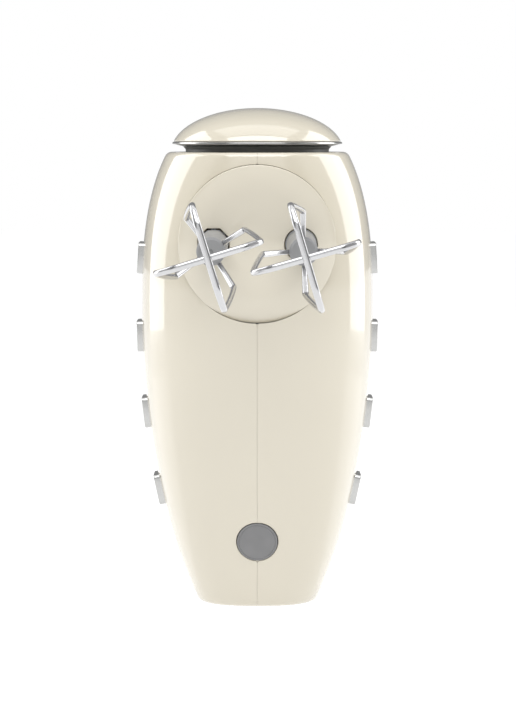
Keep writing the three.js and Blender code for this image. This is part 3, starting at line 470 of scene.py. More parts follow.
def turned(profile, place=(0, 0, 0), axis="y", sides=128, steps=4):
    """A turned solid from (radius, height, corner radius) points, about an axis through a place."""
    closed = profile[0][0] > 0
    outline = softened(profile, closed, steps)
    angles = 2 * math.pi * np.arange(sides) / sides
    c, s = np.cos(angles), np.sin(angles)
    points, rings = [], []
    for radius, height in outline:
        radius = max(radius, 0.0)
        ring = {
            "x": (height + 0 * c, radius * c, radius * s),
            "y": (radius * c, height + 0 * c, radius * s),
            "z": (radius * c, radius * s, height + 0 * c),
        }[axis]
        ring = np.stack(ring, axis=1)[: 1 if radius < 1e-6 else sides] + np.array(place)
        rings.append(list(range(len(points), len(points) + len(ring))))
        points += list(ring)
    faces = []
    for a, b in zip(rings, rings[1:] + (rings[:1] if closed else [])):
        for i in range(sides):
            j = (i + 1) % sides
            face = [a[i % len(a)], a[j % len(a)], b[j % len(b)], b[i % len(b)]]
            face = list(dict.fromkeys(face))
            if len(face) > 2:
                faces.append(tuple(face))
    return outward(points, faces)


def lofted(rings):
    """A solid skinned over rings of equally many points, flat at both ends."""
    count = len(rings[0])
    points = np.concatenate([np.asarray(ring, float) for ring in rings])
    faces = []
    for k in range(len(rings) - 1):
        for i in range(count):
            j = (i + 1) % count
            faces.append((k * count + i, k * count + j, (k + 1) * count + j, (k + 1) * count + i))
    faces.append(tuple(reversed(range(count))))
    faces.append(tuple(range((len(rings) - 1) * count, len(rings) * count)))
    return outward(points, faces)


def swept(line, wide, deep, half_wide, half_deep, sides):
    """A wire of oval section along a line; wide and deep are the section's axes at each point."""
    around = 2 * math.pi * np.arange(sides) / sides
    across = (half_wide * np.cos(around)[:, None]).T[:, :, None] * wide[:, None]
    through = (half_deep * np.sin(around)[:, None]).T[:, :, None] * deep[:, None]
    return lofted(list(line[:, None] + across + through))


def rectangle(half_u, half_v, corner, steps=6):
    """A rounded rectangle about the origin."""
    made = []
    for quarter, (su, sv) in enumerate(((1, 1), (-1, 1), (-1, -1), (1, -1))):
        for step in range(steps + 1):
            angle = (quarter + step / steps) * math.pi / 2
            made.append((su * (half_u - corner) + corner * math.cos(angle),
                         sv * (half_v - corner) + corner * math.sin(angle)))
    return np.array(made)


def cushion(half_u, half_v, corner, low, high, edge, crown=0.0, low_edge=0.0):
    """Rings of a rounded block along its depth: (u, v, depth), with soft upper edges and a crowned face."""
    levels = [(low_edge * (1 - math.sin(a)), low + low_edge * (1 - math.cos(a)))
              for a in np.linspace(0, math.pi / 2, 4)] if low_edge else [(0, low)]
    levels += [(edge * (1 - math.cos(a)), high - edge * (1 - math.sin(a)))
               for a in np.linspace(0, math.pi / 2, 6)]
    rings = []
    for inset, depth in levels:
        ring = rectangle(half_u - inset, half_v - inset, max(corner - inset, 0.05))
        rings.append(np.column_stack([ring, np.full(len(ring), depth)]))
    for share in (0.7, 0.4, 0.12):
        ring = rectangle(half_u - edge, half_v - edge, max(corner - edge, 0.05)) * share
        rings.append(np.column_stack([ring, np.full(len(ring), high + crown * (1 - share ** 2))]))
    return rings


def laid(rings, u, v, depth, place):
    """Rings moved from (u, v, depth) into the mixer's frame."""
    axes = np.array([u, v, depth], float)
    return lofted([ring @ axes + np.array(place) for ring in rings])


# ---- finishes
def filled(tree, node, inputs):
    """Sets a node's inputs to values, or links them where they are given another node's output."""
    for name, value in inputs.items():
        if isinstance(value, bpy.types.NodeSocket):
            tree.links.new(value, node.inputs[name])
        else:
            node.inputs[name].default_value = value
    return node


def added(tree, kind, output, inputs, **settings):
    """An output of a new shader node."""
    node = tree.nodes.new(f"ShaderNode{kind}")
    for setting, value in settings.items():
        setattr(node, setting, value)
    return filled(tree, node, inputs).outputs[output]


def finish(name, color, roughness, metallic=0.0, mottle=(40, 0.02), wear=(300, 0.04), grain=(2500, 0.004),
           stretch=(1, 1, 1), bands=None, coat=0.0, coat_ior=1.5, specular=0.5, glow=0.0):
    """A material with uneven colour and roughness, fine surface grain, and bands where a part has them.

    mottle and wear are a noise's scale and strength; grain is its scale and its height in millimetres;
    bands are a direction, a period in millimetres, a height in millimetres and how dark the grooves are
    painted, as painted shade in the grooves.
    """
    material = bpy.data.materials.new(name)
    material.use_nodes = True
    tree = material.node_tree
    place = added(tree, "TexCoord", "Object", {})
    stretched = added(tree, "Mapping", "Vector", {"Scale": stretch, "Vector": place})

    def noise(scale, detail):
        return added(tree, "TexNoise", "Fac", {"Scale": scale, "Detail": detail, "Vector": stretched})

    def ranged(value, low, high):
        return added(tree, "MapRange", "Result", {
            "Value": value, "From Min": 0.3, "From Max": 0.7, "To Min": low, "To Max": high})

    def mixed(factor, a, b):
        return added(tree, "Mix", "Result", {"Factor": factor, "A": a, "B": b}, data_type="RGBA")

    shade = mixed(
        ranged(noise(mottle[0], 3), 0, 1), (*[c * (1 - mottle[1]) for c in color], 1),
        (*[min(c * (1 + mottle[1]), 1) for c in color], 1))
    worn = ranged(noise(wear[0], 4), roughness - wear[1] / 2, roughness + wear[1] / 2)
    normal = added(tree, "Bump", "Normal", {"Distance": grain[1] * MM, "Height": noise(grain[0], 2)})
    if bands:
        direction, period, height, dark = bands
        wave = added(tree, "TexWave", "Fac", {
            "Scale": 2 * math.pi / (20 * period * MM), "Distortion": 0.3, "Vector": place},
            bands_direction=direction)
        normal = added(tree, "Bump", "Normal", {"Distance": height * MM, "Height": wave, "Normal": normal})
        # painted shade: the colour darkens towards the bottom of each band's groove
        shade = mixed(wave, (*[c * dark for c in color], 1), shade)
    filled(tree, tree.nodes["Principled BSDF"], {
        "Base Color": shade, "Roughness": worn, "Normal": normal, "Metallic": metallic,
        "Specular IOR Level": specular, "Coat Weight": coat, "Coat Roughness": 0.04, "Coat IOR": coat_ior,
        "Emission Color": (1, 1, 1, 1), "Emission Strength": glow})
    return material


LOOKS = {  # colour, roughness, and what else differs from a plain finish
    "cream_gloss": ((0.655, 0.607, 0.497), 0.16, dict(
        mottle=(9, 0.012), wear=(160, 0.05), grain=(900, 0.0025), coat=1.0, coat_ior=1.7)),
    "polished_chrome": ((0.52, 0.52, 0.51), 0.18, dict(
        metallic=1.0, mottle=(60, 0.03), wear=(500, 0.08), grain=(3000, 0.001))),
    "beater_chrome": ((0.60, 0.60, 0.61), 0.2, dict(
        metallic=1.0, mottle=(80, 0.03), wear=(400, 0.08), grain=(1500, 0.0015))),
    "satin_aluminium": ((0.60, 0.61, 0.62), 0.34, dict(
        metallic=1.0, mottle=(30, 0.02), wear=(800, 0.10), grain=(1500, 0.003), stretch=(0.04, 1, 1))),
    "dark_grey_plastic": ((0.105, 0.108, 0.102), 0.42, dict(
        mottle=(60, 0.05), wear=(500, 0.10), grain=(2200, 0.012))),
    "beater_grey_plastic": ((0.25, 0.252, 0.255), 0.40, dict(
        mottle=(90, 0.04), wear=(500, 0.12), grain=(1800, 0.008))),
    "frame_plastic": ((0.11, 0.125, 0.14), 0.55, dict(
        mottle=(60, 0.06), wear=(300, 0.10), grain=(1500, 0.015))),
    "grey_rubber": ((0.225, 0.225, 0.228), 0.72, dict(
        mottle=(150, 0.05), wear=(600, 0.10), grain=(2600, 0.02), specular=0.3)),
    "black_window": ((0.012, 0.012, 0.014), 0.08, dict(
        mottle=(40, 0.10), wear=(200, 0.04), grain=(900, 0.001), coat=0.6)),
    "steel": ((0.52, 0.53, 0.55), 0.28, dict(
        metallic=1.0, mottle=(120, 0.04), wear=(700, 0.12), grain=(2500, 0.002), stretch=(1, 0.1, 1))),
    "lamination_steel": ((0.30, 0.31, 0.33), 0.42, dict(
        metallic=1.0, mottle=(100, 0.08), wear=(400, 0.12), bands=("Z", 0.5, 0.05, 0.55))),
    "copper": ((0.62, 0.26, 0.11), 0.30, dict(
        metallic=1.0, mottle=(150, 0.08), wear=(500, 0.12), bands=("Y", 0.45, 0.10, 0.35))),
    "bronze": ((0.48, 0.33, 0.12), 0.45, dict(
        metallic=1.0, mottle=(300, 0.10), wear=(900, 0.15), grain=(3500, 0.01))),
    "carbon": ((0.03, 0.03, 0.032), 0.65, dict(
        mottle=(400, 0.15), grain=(4000, 0.02))),
    "nylon": ((0.80, 0.78, 0.70), 0.42, dict(
        mottle=(60, 0.02), wear=(400, 0.10), grain=(1500, 0.006))),
    "board_green": ((0.015, 0.11, 0.04), 0.35, dict(
        mottle=(500, 0.20), wear=(900, 0.10), bands=("Z", 2.5, 0.03, 0.75), coat=0.3)),
}
finishes = {name: finish(name, color, roughness, **more)
            for name, (color, roughness, more) in LOOKS.items()}


# ---- casing
SEAM = 0.07  # what shows of the gap between the two shells
SEAM_EDGE = 0.06
BOSS_SEAM = 0.14
BOSS_EDGE = 0.07
BOSS_SHUT_EDGE = 0.02
NECK_RADIUS = span("nose_neck", "x")[1] - 2.2  # inside its flange
NECK_HOLE = NECK_RADIUS + GAP
GLAND_Z = middle("cord_gland")[2]
GLAND_RADIUS = 5.0
GLAND_HOLE = GLAND_RADIUS + GAP
NEAR = 6.0  # an opening in one face of the casing is cut only this near to that face
PAD_Z = 28.6
PAD_RADIUS = span("underside_pad", "x")[1]
PAD_TILT = math.asin((BELLY_Z - PAD_Z) / BELLY_RADIUS)
FOOT_Y = span("heel_foot", "y")
FOOT_HALF_WIDTH = span("heel_foot", "x")[1]
RIB_HEIGHT = 0.35
TRIM_DEPTH, TRIM_LENGTH, TRIM_CORNER = 15.0, 12.8, 2.0
TRIM_PROUD = 1.9
VENT_X = (4.0, 10.0, 16.0)
VENT_WIDTH = 2.2
VENT_Y = (15.0, 45.0)  # the vents go through the casing between these
VENT_BANDS = ((46.0, 64.0), (104.0, 122.0))
SCREW_NAMES = ("shell_screw_1", "shell_screw_2", "shell_screw_3")
SCREW_HOLE = 3.5
TONGUE_DEPTH, TONGUE_HALF_WIDTH, TONGUE_THICKNESS = 0.6, 1.1, 0.7
CAP_WALL = 2.2
PANEL_HALF_X = span("control_panel", "x")[1]
PANEL_PROUD = 0.6
PANEL_CORNER = 3.0
PANEL_DEPTH = 9.0  # what lies deeper than this under the handle's top is not on the top
PANEL_END_ANGLE = math.radians(58)
PANEL_ALONG = (span("control_panel", "z")[0] - CORNER_Z, HANDLE_FRONT_CORNER * PANEL_END_ANGLE)
WINDOW_HALF_X = span("display_window", "x")[1]
WINDOW_ALONG = tuple(HANDLE_FRONT_CORNER * math.radians(angle) for angle in (28, 50))
WINDOW_CORNER = 1.7
WINDOW_SUNK = 0.25  # under the panel's face
KEYS = ("power_button", "plus_button", "minus_button")
KEY_HOLE = 5.0
BUTTON_HALF_X = span("ejector_button", "x")[1]
BUTTON_HALF_Z = (span("ejector_button", "z")[1] - span("ejector_button", "z")[0]) / 2
BUTTON_CORNER = 3.0
SPRING_WIRE = 0.5
SPRING_TURNS = 5
SOCKET_RADIUS = 6.6
OCTAGON_FLAT = 6.3  # from its middle to its flats
COVER_EDGE = 0.35
BOSS_BACK_Y = -26.0  # the boss's side goes in this deep, behind the shells


def top_place(y, z):
    """How far along the handle's top a point lies from its front corner, and whether it is on the top."""
    on_arc = z > CORNER_Z
    angle = np.arctan2(z - CORNER_Z, y - CORNER_Y)
    depth = np.where(on_arc, HANDLE_FRONT_CORNER - length(y - CORNER_Y, z - CORNER_Z), HANDLE_TOP_Y - y)
    along = np.where(on_arc, HANDLE_FRONT_CORNER * angle, z - CORNER_Z)
    return along, (np.abs(depth) < PANEL_DEPTH) & (y > CORNER_Y)


def grown(ends, by):
    """A stretch, longer by as much at both ends."""
    return ends[0] - by, ends[1] + by


def only(where, distance):
    """A distance that counts only somewhere."""
    return np.where(where, distance, FAR)


def at_boss(y, z):
    """Whether a point is where the boss comes out of the casing."""
    return (y < -20) & (z > 100)


def panel_outline(x, along, by):
    """Distance to the panel's outline, grown by so much."""
    return rounded_box(
        x, along, grown((-PANEL_HALF_X, PANEL_HALF_X), by), grown(PANEL_ALONG, by), PANEL_CORNER)


def end_holes(x, y, z):
    """Distances to the holes for the nose's neck and the cord gland."""
    return [only(z > FRONT_Z - NEAR, length(x, y) - NECK_HOLE),
            only(y > HANDLE_TOP_Y - NEAR, length(x, z - GLAND_Z) - GLAND_HOLE)]


def side_slope(height):
    """The casing's slope in the front view, where its side is at a height."""
    return math.atan((half_width(height + 1) - half_width(height - 1)) / 2)


def trim_place(x, y, z, height):
    """A point's place across a side trim, along it, and out from the casing."""
    slope = side_slope(height)
    dx, dz = np.abs(x) - half_width(height), z - height
    return y, dx * math.sin(slope) + dz * math.cos(slope), dx * math.cos(slope) - dz * math.sin(slope)


TRIM_HEIGHTS = [142.6, 110.5, 79.1, 47.2]


def shell_keep(points, screws):
    """How far points lie from the edges of the right shell, positive on the shell."""
    x, y, z = points.T
    along, on_top = top_place(y, z)
    radius = length(x, z - SPINDLE_Z)
    foot = length(x, y - np.clip(y, FOOT_Y[0] + FOOT_HALF_WIDTH, FOOT_Y[1] - FOOT_HALF_WIDTH))
    pad_y, pad_z = y + float(belly_depth(PAD_Z)), z - PAD_Z
    pad = length(x, pad_z * math.cos(PAD_TILT) - pad_y * math.sin(PAD_TILT)) - PAD_RADIUS
    distances = [
        x - SEAM / 2,
        only(at_boss(y, z), radius - BOSS_SIDE_RADIUS - BOSS_SEAM * boss_seam_open(x, z)),
        *end_holes(x, y, z),
        only(y < 0, pad - GAP),
        only(z < HEEL_Z + NEAR / 2, foot - FOOT_HALF_WIDTH - GAP),
        only(on_top, panel_outline(x, along, GAP / 2)),
    ]
    for height in TRIM_HEIGHTS:
        across, up, out = trim_place(x, y, z, height)
        pocket = rounded_box(across, up, grown((-TRIM_DEPTH / 2, TRIM_DEPTH / 2), GAP),
                             grown((-TRIM_LENGTH / 2, TRIM_LENGTH / 2), GAP), TRIM_CORNER)
        distances.append(only((x > HALF_WIDTH / 2) & (np.abs(out) < NEAR), pocket))
    for place in VENT_X:
        for band in VENT_BANDS:
            slot = rounded_box(x, z, grown((place, place), VENT_WIDTH / 2), band, VENT_WIDTH / 2 - 0.01)
            distances.append(only((y > VENT_Y[0]) & (y < VENT_Y[1]), slot))
    if screws:
        for name in SCREW_NAMES:
            _, screw_y, screw_z = middle(name)
            hole = length(y - screw_y, z - screw_z) - SCREW_HOLE
            distances.append(only(x > HANDLE_HALF_WIDTH - NEAR, hole))
    return np.min(distances, axis=0)


def shell_edge(points):
    """How far each edge of the casing is rounded."""
    x, y, z = points.T
    edge = np.where(np.abs(x) < 1, SEAM_EDGE, EDGE)
    round_boss = (np.abs(length(x, z - SPINDLE_Z) - BOSS_RADIUS) < 1) & at_boss(y, z)
    boss_edge = BOSS_SHUT_EDGE + (BOSS_EDGE - BOSS_SHUT_EDGE) * boss_seam_open(x, z)
    return np.where(round_boss, boss_edge, edge)


def cover_keep(points):
    """The boss's face: its rim, the octagonal socket and the round one."""
    x, _, z = points.T
    octagon = np.max([(x + SPINDLE_X) * math.cos(a) + (z - SPINDLE_Z) * math.sin(a)
                      for a in np.arange(8) * math.pi / 4], axis=0) - OCTAGON_FLAT
    return np.min([
        BOSS_SIDE_RADIUS - length(x, z - SPINDLE_Z),
        octagon,
        length(x - SPINDLE_X, z - SPINDLE_Z) - SOCKET_RADIUS,
    ], axis=0)


def panel_keep(points):
    """The panel, with holes for the window, the ejector's button and the keys."""
    x, y, z = points.T
    along, on_top = top_place(y, z)
    outer = panel_outline(x, along, -GAP / 2)
    window = rounded_box(x, along, grown((-WINDOW_HALF_X, WINDOW_HALF_X), GAP),
                         grown(WINDOW_ALONG, GAP), WINDOW_CORNER + GAP)
    button = rounded_box(x, z, grown((-BUTTON_HALF_X, BUTTON_HALF_X), GAP),
                         grown((SPINDLE_Z, SPINDLE_Z), BUTTON_HALF_Z + GAP), BUTTON_CORNER + GAP)
    keys = [length(x, z - middle(name)[2]) - KEY_HOLE for name in KEYS]
    return np.where(on_top, np.min([-outer, window, button, *keys], axis=0), -FAR)


def window_keep(points):
    """The window in the panel."""
    x, y, z = points.T
    along, on_top = top_place(y, z)
    outer = rounded_box(x, along, (-WINDOW_HALF_X, WINDOW_HALF_X), WINDOW_ALONG, WINDOW_CORNER)
    return np.where(on_top, -outer, -FAR)


def with_edge(keep, edge):
    """A keep that leaves room for the rounded edge outside what it keeps."""
    return lambda points: keep(points) - edge(points)


def even_edge(size):
    """An edge rounded by the same size everywhere."""
    return lambda points: np.full(len(points), size)


def tongue_keep(points):
    """A lip behind the seam between the shells, and one behind the boss's seam."""
    x, y, z = points.T
    seam = TONGUE_HALF_WIDTH - np.abs(x)
    outside_boss = length(x, z - SPINDLE_Z) - BOSS_SIDE_RADIUS
    ring = np.minimum(TONGUE_HALF_WIDTH - outside_boss, outside_boss)
    lip = np.where(at_boss(y, z), np.minimum(np.maximum(seam, ring), outside_boss - GAP), seam)
    along, on_top = top_place(y, z)
    foot = np.abs(y - sum(FOOT_Y) / 2) - (FOOT_Y[1] - FOOT_Y[0]) / 2
    return np.min([lip, only(on_top, panel_outline(x, along, GAP)), *end_holes(x, y, z),
                   only(z < HEEL_Z + NEAR / 2, foot)], axis=0)


def casing():
    low, high = (-2.4, -BELLY_DEPTH - 4, HEEL_Z - 3), (HALF_WIDTH + 2, HANDLE_TOP_Y + 3, FRONT_Z + 3)
    for name, screws in (("right_shell", True), ("left_shell", False)):
        keep = with_edge(lambda points: shell_keep(points, screws), shell_edge)
        seam = with_edge(lambda points: points[:, 0] - SEAM / 2, shell_edge)
        part = skin_part(casing_field, keep, low, high, 1.2, WALL, shell_edge, [seam])
        if name == "left_shell":
            part = mirrored(part)
        show(name, "housing", "cream_gloss", [name], *part)
    reach = BOSS_RADIUS + 2
    edge = even_edge(COVER_EDGE)
    low, high = (-reach, BOSS_FACE_Y - 3, SPINDLE_Z - reach), (reach, BOSS_FACE_Y + 9, SPINDLE_Z + reach)
    face = skin_part(
        lambda points: boss_field(*points.T), with_edge(cover_keep, edge), low, high, 0.9, WALL, edge)
    show("boss_cover", "housing", "cream_gloss", ["boss_cover"], *face)
    rim_fall = BOSS_FALL + BOSS_EXTRA_FALL
    rim_y = BOSS_FACE_Y + rim_fall * (BOSS_SIDE_RADIUS - BOSS_FLAT_RADIUS) ** 2 + COVER_EDGE
    show("boss_side", "housing", "cream_gloss", [], *turned([
        (BOSS_SIDE_RADIUS - WALL, rim_y, 0), (BOSS_SIDE_RADIUS, rim_y, 0), (BOSS_SIDE_RADIUS, BOSS_BACK_Y, 0),
        (BOSS_SIDE_RADIUS - WALL, BOSS_BACK_Y, 0)], (0, 0, SPINDLE_Z), sides=256))
    reach = BOSS_RADIUS + 3
    tongue = skin_part(
        lambda points: casing_field(points) + TONGUE_DEPTH, tongue_keep,
        (-reach, -BELLY_DEPTH - 8, HEEL_Z - 2), (reach, HANDLE_TOP_Y + 2, FRONT_Z + 2), 1.0,
        TONGUE_THICKNESS, even_edge(0.1))
    show("seam_tongue", "housing", "cream_gloss", [], *tongue)


def panel():
    def lifted(by):
        return lambda points: handle_field(*points.T) - by

    edge = even_edge(0.3)
    low, high = (-12.4, CORNER_Y + 2, PANEL_ALONG[0] + CORNER_Z - 3), (12.4, HANDLE_TOP_Y + 3, FRONT_Z - 2)
    part = skin_part(
        lifted(PANEL_PROUD), with_edge(panel_keep, edge), low, high, 0.8, WALL + PANEL_PROUD, edge)
    show("control_panel", "housing", "satin_aluminium", ["control_panel"], *part)
    edge = even_edge(0.25)
    part = skin_part(
        lifted(PANEL_PROUD - WINDOW_SUNK), with_edge(window_keep, edge), (-9.6, CORNER_Y + 10, CORNER_Z + 16),
        (9.6, HANDLE_TOP_Y + 3, FRONT_Z - 2), 0.6, 1.5, edge)
    show("display_window", "housing", "black_window", ["display_window"], *part)


# ---- fittings
def nose():
    (_, _, neck_low), (neck_radius, _, neck_high) = corners("nose_neck")
    (_, _, ring_low), (ring_radius, _, ring_high) = corners("nose_ring")
    (_, _, cap_low), (cap_radius, _, cap_high) = corners("nose_cap")
    bore = NECK_RADIUS - 3
    show("nose_neck", "housing", "dark_grey_plastic", ["nose_neck"], *turned([
        (bore, neck_low, 0), (neck_radius, neck_low, 0.3), (neck_radius, FRONT_Z - 2.7, 0.3),
        (NECK_RADIUS, FRONT_Z - 2.7, 0), (NECK_RADIUS, neck_high - 1.1, 1.0),
        (NECK_RADIUS + 1.1, neck_high, 0.1),
        (bore, neck_high, 0)], axis="z", sides=192))
    show("nose_ring", "housing", "polished_chrome", ["nose_ring"], *turned([
        (bore, ring_low, 0), (NECK_RADIUS + 1.4, ring_low, 0.2), (ring_radius, ring_low + 0.95, 0.18),
        (ring_radius - 0.1, ring_high - 0.25, 0.2), (ring_radius - 0.7, ring_high, 0.2),
        (bore, ring_high, 0)], axis="z", sides=192))
    height = cap_high - FRONT_Z
    full_radius = cap_radius / math.sqrt(1 - ((cap_low - FRONT_Z) / height) ** 2)

    def arc(inset, angles):
        return [((full_radius - inset) * math.cos(a), FRONT_Z + (height - inset) * math.sin(a), 0)
                for a in angles]

    low_angle = math.asin((cap_low - FRONT_Z) / height)
    outer = arc(0, np.linspace(low_angle + 0.02, math.pi / 2, 40))
    inner = arc(CAP_WALL, np.linspace(math.pi / 2, low_angle + 0.06, 30))
    foot = [(inner[-1][0], cap_low, 0.2), (outer[0][0] - 0.05, cap_low, 0.35)]
    outline = [(0, outer[-1][1], 0)] + outer[-2::-1] + foot[::-1] + inner[::-1][:-1] + [(0, inner[0][1], 0)]
    show("nose_cap", "housing", "cream_gloss", ["nose_cap"], *turned(outline, axis="z", sides=192))


def trims():
    for index, height in enumerate(TRIM_HEIGHTS):
        slope = side_slope(height)
        for side, sign in (("right", 1), ("left", -1)):
            name = f"side_trim_{side}_{index + 1}"
            rings = cushion(TRIM_DEPTH / 2, TRIM_LENGTH / 2, TRIM_CORNER, -1.2, TRIM_PROUD, 0.45, 0.12)
            show(name, "housing", "polished_chrome", [name], *laid(
                rings, (0, 1, 0), (sign * math.sin(slope), 0, math.cos(slope)),
                (sign * math.cos(slope), 0, -math.sin(slope)), (sign * half_width(height), 0, height)))


def feet():
    half_y = (FOOT_Y[1] - FOOT_Y[0]) / 2
    _, foot_high = span("heel_foot", "z")

    def under(rings):
        return laid(rings, (1, 0, 0), (0, 1, 0), (0, 0, -1), (0, sum(FOOT_Y) / 2, 0.0))

    rings = cushion(FOOT_HALF_WIDTH, half_y, FOOT_HALF_WIDTH - 0.01, -foot_high, 0.0, 0.7)
    sole = rings[:1] + [ring - np.array([0, 0, RIB_HEIGHT]) for ring in rings[1:]]
    rib = cushion(FOOT_HALF_WIDTH - 3.5, 0.9, 0.8, -0.6, 0.0, 0.3)
    ribs = [under([ring + np.array([0, shift, 0]) for ring in rib]) for shift in np.arange(-3, 4) * 11.0]
    show("heel_foot", "housing", "grey_rubber", ["heel_foot"], *merged(under(sole), *ribs))
    depth = float(belly_depth(PAD_Z))
    points, faces = turned([
        (0, 1.3, 0), (PAD_RADIUS, 1.3, 0), (PAD_RADIUS, -0.1, 0.15), (PAD_RADIUS - 0.55, -0.15, 0.1),
        (PAD_RADIUS - 0.75, 0.1, 0.1), (PAD_RADIUS - 1.1, -0.12, 0.15), (PAD_RADIUS * 0.5, -0.15, 2),
        (0, -0.15, 0)], sides=128)
    c, s = math.cos(PAD_TILT), math.sin(PAD_TILT)
    turn = np.array([[1, 0, 0], [0, c, s], [0, -s, c]])
    show("underside_pad", "housing", "grey_rubber", ["underside_pad"],
         points @ turn + np.array([0, -depth, PAD_Z]), faces)


def gland():
    low, high = span("cord_gland", "y")
    flange = span("cord_gland", "x")[1]
    show("cord_gland", "housing", "dark_grey_plastic", ["cord_gland"], *turned([
        (3.5, low, 0.3), (GLAND_RADIUS, low, 0.3), (GLAND_RADIUS, HANDLE_TOP_Y + 0.15, 0.1),
        (flange, HANDLE_TOP_Y + 0.15, 0.15),
        (flange, high - 1.3, 0.9), (flange - 1.2, high, 0.5), (5.4, high, 0.4), (4.9, high - 0.6, 0.3),
        (4.2, high - 0.6, 0.3), (3.5, high - 1.3, 0.3)], (0, 0, GLAND_Z), sides=96))


def screws():
    sleeves = []
    for name in SCREW_NAMES:
        _, y, z = middle(name)
        low, high = span(name, "x")
        seat = high - 2.2
        sleeves.append(turned([
            (SCREW_HOLE, seat - 0.3, 0), (SCREW_HOLE, HANDLE_HALF_WIDTH - 0.3, 0),
            (SCREW_HOLE + 1.2, HANDLE_HALF_WIDTH - 1.2, 0), (SCREW_HOLE + 1.2, seat - 2, 0),
            (1.9, seat - 2, 0), (1.9, seat - 0.3, 0)], (0, y, z), "x", sides=48))
        head = turned([
            (0, low, 0), (0.7, low, 0), (1.5, low + 1.5, 0.2), (1.5, seat, 0.1), (3.2, seat, 0.2),
            (3.2, high - 0.7, 0.5), (2.0, high, 0.6), (1.25, high, 0.1), (1.0, high - 0.9, 0.1),
            (0, high - 1.0, 0)], (0, y, z), "x", sides=64)
        bars = [laid(cushion(1.25, 0.28, 0.1, -1.1, -0.25, 0.1), u, v, (1, 0, 0), (high, y, z))
                for u, v in (((0, 1, 0), (0, 0, 1)), ((0, 0, 1), (0, -1, 0)))]
        show(name, "housing", "steel", [name], *merged(head, *bars))
    show("screw_sleeves", "housing", "cream_gloss", [], *merged(*sleeves))


# ---- controls
def bar(half_u, half_v, u, v, place):
    """A raised bar of a key's symbol."""
    return laid(cushion(half_u, half_v, min(half_u, half_v) * 0.6, -0.2, 0.28, 0.14), u, v, (0, 1, 0), place)


def power_symbol(face, z):
    """An open ring with a bar in its gap."""
    angles = np.radians(np.linspace(125, 415, 40))
    out = np.column_stack([-np.cos(angles), 0 * angles, np.sin(angles)])
    up = np.tile([0.0, 1.0, 0.0], (len(angles), 1))
    ring = swept(np.array([0, face, z]) + 2.05 * out, out, up, 0.3, 0.3, 12)
    return merged(ring, bar(0.3, 1.15, (1, 0, 0), (0, 0, 1), (0, face, z + 1.9)))


def keys():
    for name, body in zip(KEYS, ("power_key", "plus_key", "minus_key")):
        low, high = corners(name)
        z = middle(name)[2]
        cap = turned([
            (0, low[1], 0), (6.0, low[1], 0.2), (6.0, low[1] + 1.8, 0.2), (4.6, low[1] + 1.8, 0.1),
            (4.6, high[1] - 0.3, 0.7), (3.6, high[1] - 0.28, 0.8), (2.2, high[1] - 0.5, 2.0),
            (0, high[1] - 0.55, 0)], (0, 0, z), sides=96)
        face = high[1] - 0.5
        symbol = {
            "power_button": lambda: power_symbol(face, z),
            "plus_button": lambda: merged(
                bar(1.9, 0.34, (1, 0, 0), (0, 0, 1), (0, face, z)),
                bar(0.34, 1.9, (1, 0, 0), (0, 0, 1), (0, face, z))),
            "minus_button": lambda: bar(1.9, 0.34, (1, 0, 0), (0, 0, 1), (0, face, z)),
        }[name]()
        show(name, body, "dark_grey_plastic", [name], *merged(cap, symbol))


def ejector():
    low, high = span("ejector_button", "y")
    body = laid(cushion(BUTTON_HALF_X, BUTTON_HALF_Z, BUTTON_CORNER, 0, high - low - 0.5, 1.1, 0.1),
                (1, 0, 0), (0, 0, 1), (0, 1, 0), (0, low, SPINDLE_Z))
    ridges = [laid(cushion(BUTTON_HALF_X - 2.4, 0.55, 0.5, -0.4, 0.5, 0.35), (1, 0, 0), (0, 0, 1), (0, 1, 0),
                   (0, high - 0.5, SPINDLE_Z + shift)) for shift in np.arange(-2, 3) * 2.1]
    show("ejector_button", "ejector", "dark_grey_plastic", ["ejector_button"], *merged(body, *ridges))


def spring():
    """The ejector's return spring, drawn at rest on a mesh of its own; the real one flattens towards the
    gearbox as the button goes in.
    """
    low, high = corners("ejector_spring")
    centre = (low + high) / 2
    reach = (high[0] - low[0]) / 2 - SPRING_WIRE
    share = np.linspace(0, 1, SPRING_TURNS * 28 + 1)
    angles = 2 * math.pi * SPRING_TURNS * share
    flat_end = 0.9 / SPRING_TURNS
    rise = np.clip((share - flat_end) / (1 - 2 * flat_end), 0, 1)
    heights = low[1] + SPRING_WIRE + rise * (high[1] - low[1] - 2 * SPRING_WIRE)
    out = np.column_stack([np.cos(angles), 0 * angles, np.sin(angles)])
    up = np.tile([0.0, 1.0, 0.0], (len(angles), 1))
    line = np.column_stack([0 * angles + centre[0], heights, 0 * angles + centre[2]]) + reach * out
    wire = swept(line, out, up, SPRING_WIRE, SPRING_WIRE, 8)
    piece = show("ejector_return_spring", "housing", "steel", ["ejector_spring"], *wire)
    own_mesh(piece)


# ---- beaters
HUB_Y = (-104.0, -37.0)
COLLAR_LENGTH = 6.0
BEND = (15.5, -115.0)
WIDEST = (20.0, -151.0)
TIP_Y = -160.0
EXIT_Y = -101.0
INNER_LIFT = 2.7
LOOP_TURNS = {  # degrees about the beater from +X towards +Z: at the upper bend, and at the tip
    "left": {"outer": (124, 107), "inner": (34, 17)},
    "right": {"outer": (92, 106.5), "inner": (2, 16)},
}
# From the hub to the tip: distance from the axis, Y, corner radius, and half the wire's width and depth.
WIRE_LINE = [
    (2.4, EXIT_Y - 0.4, 0, 1.0, 1.0),
    (5.6, EXIT_Y - 0.6, 2.0, 0.95, 0.95),
    (BEND[0], BEND[1], 3.0, 1.25, 0.85),
    (WIDEST[0], WIDEST[1] - 3.2, 6.5, 1.2, 0.95),
    (WIDEST[0] - 7.0, TIP_Y + 0.25, 7.5, 1.3, 1.0),
    (0, TIP_Y, 0, 1.3, 1.02),
]


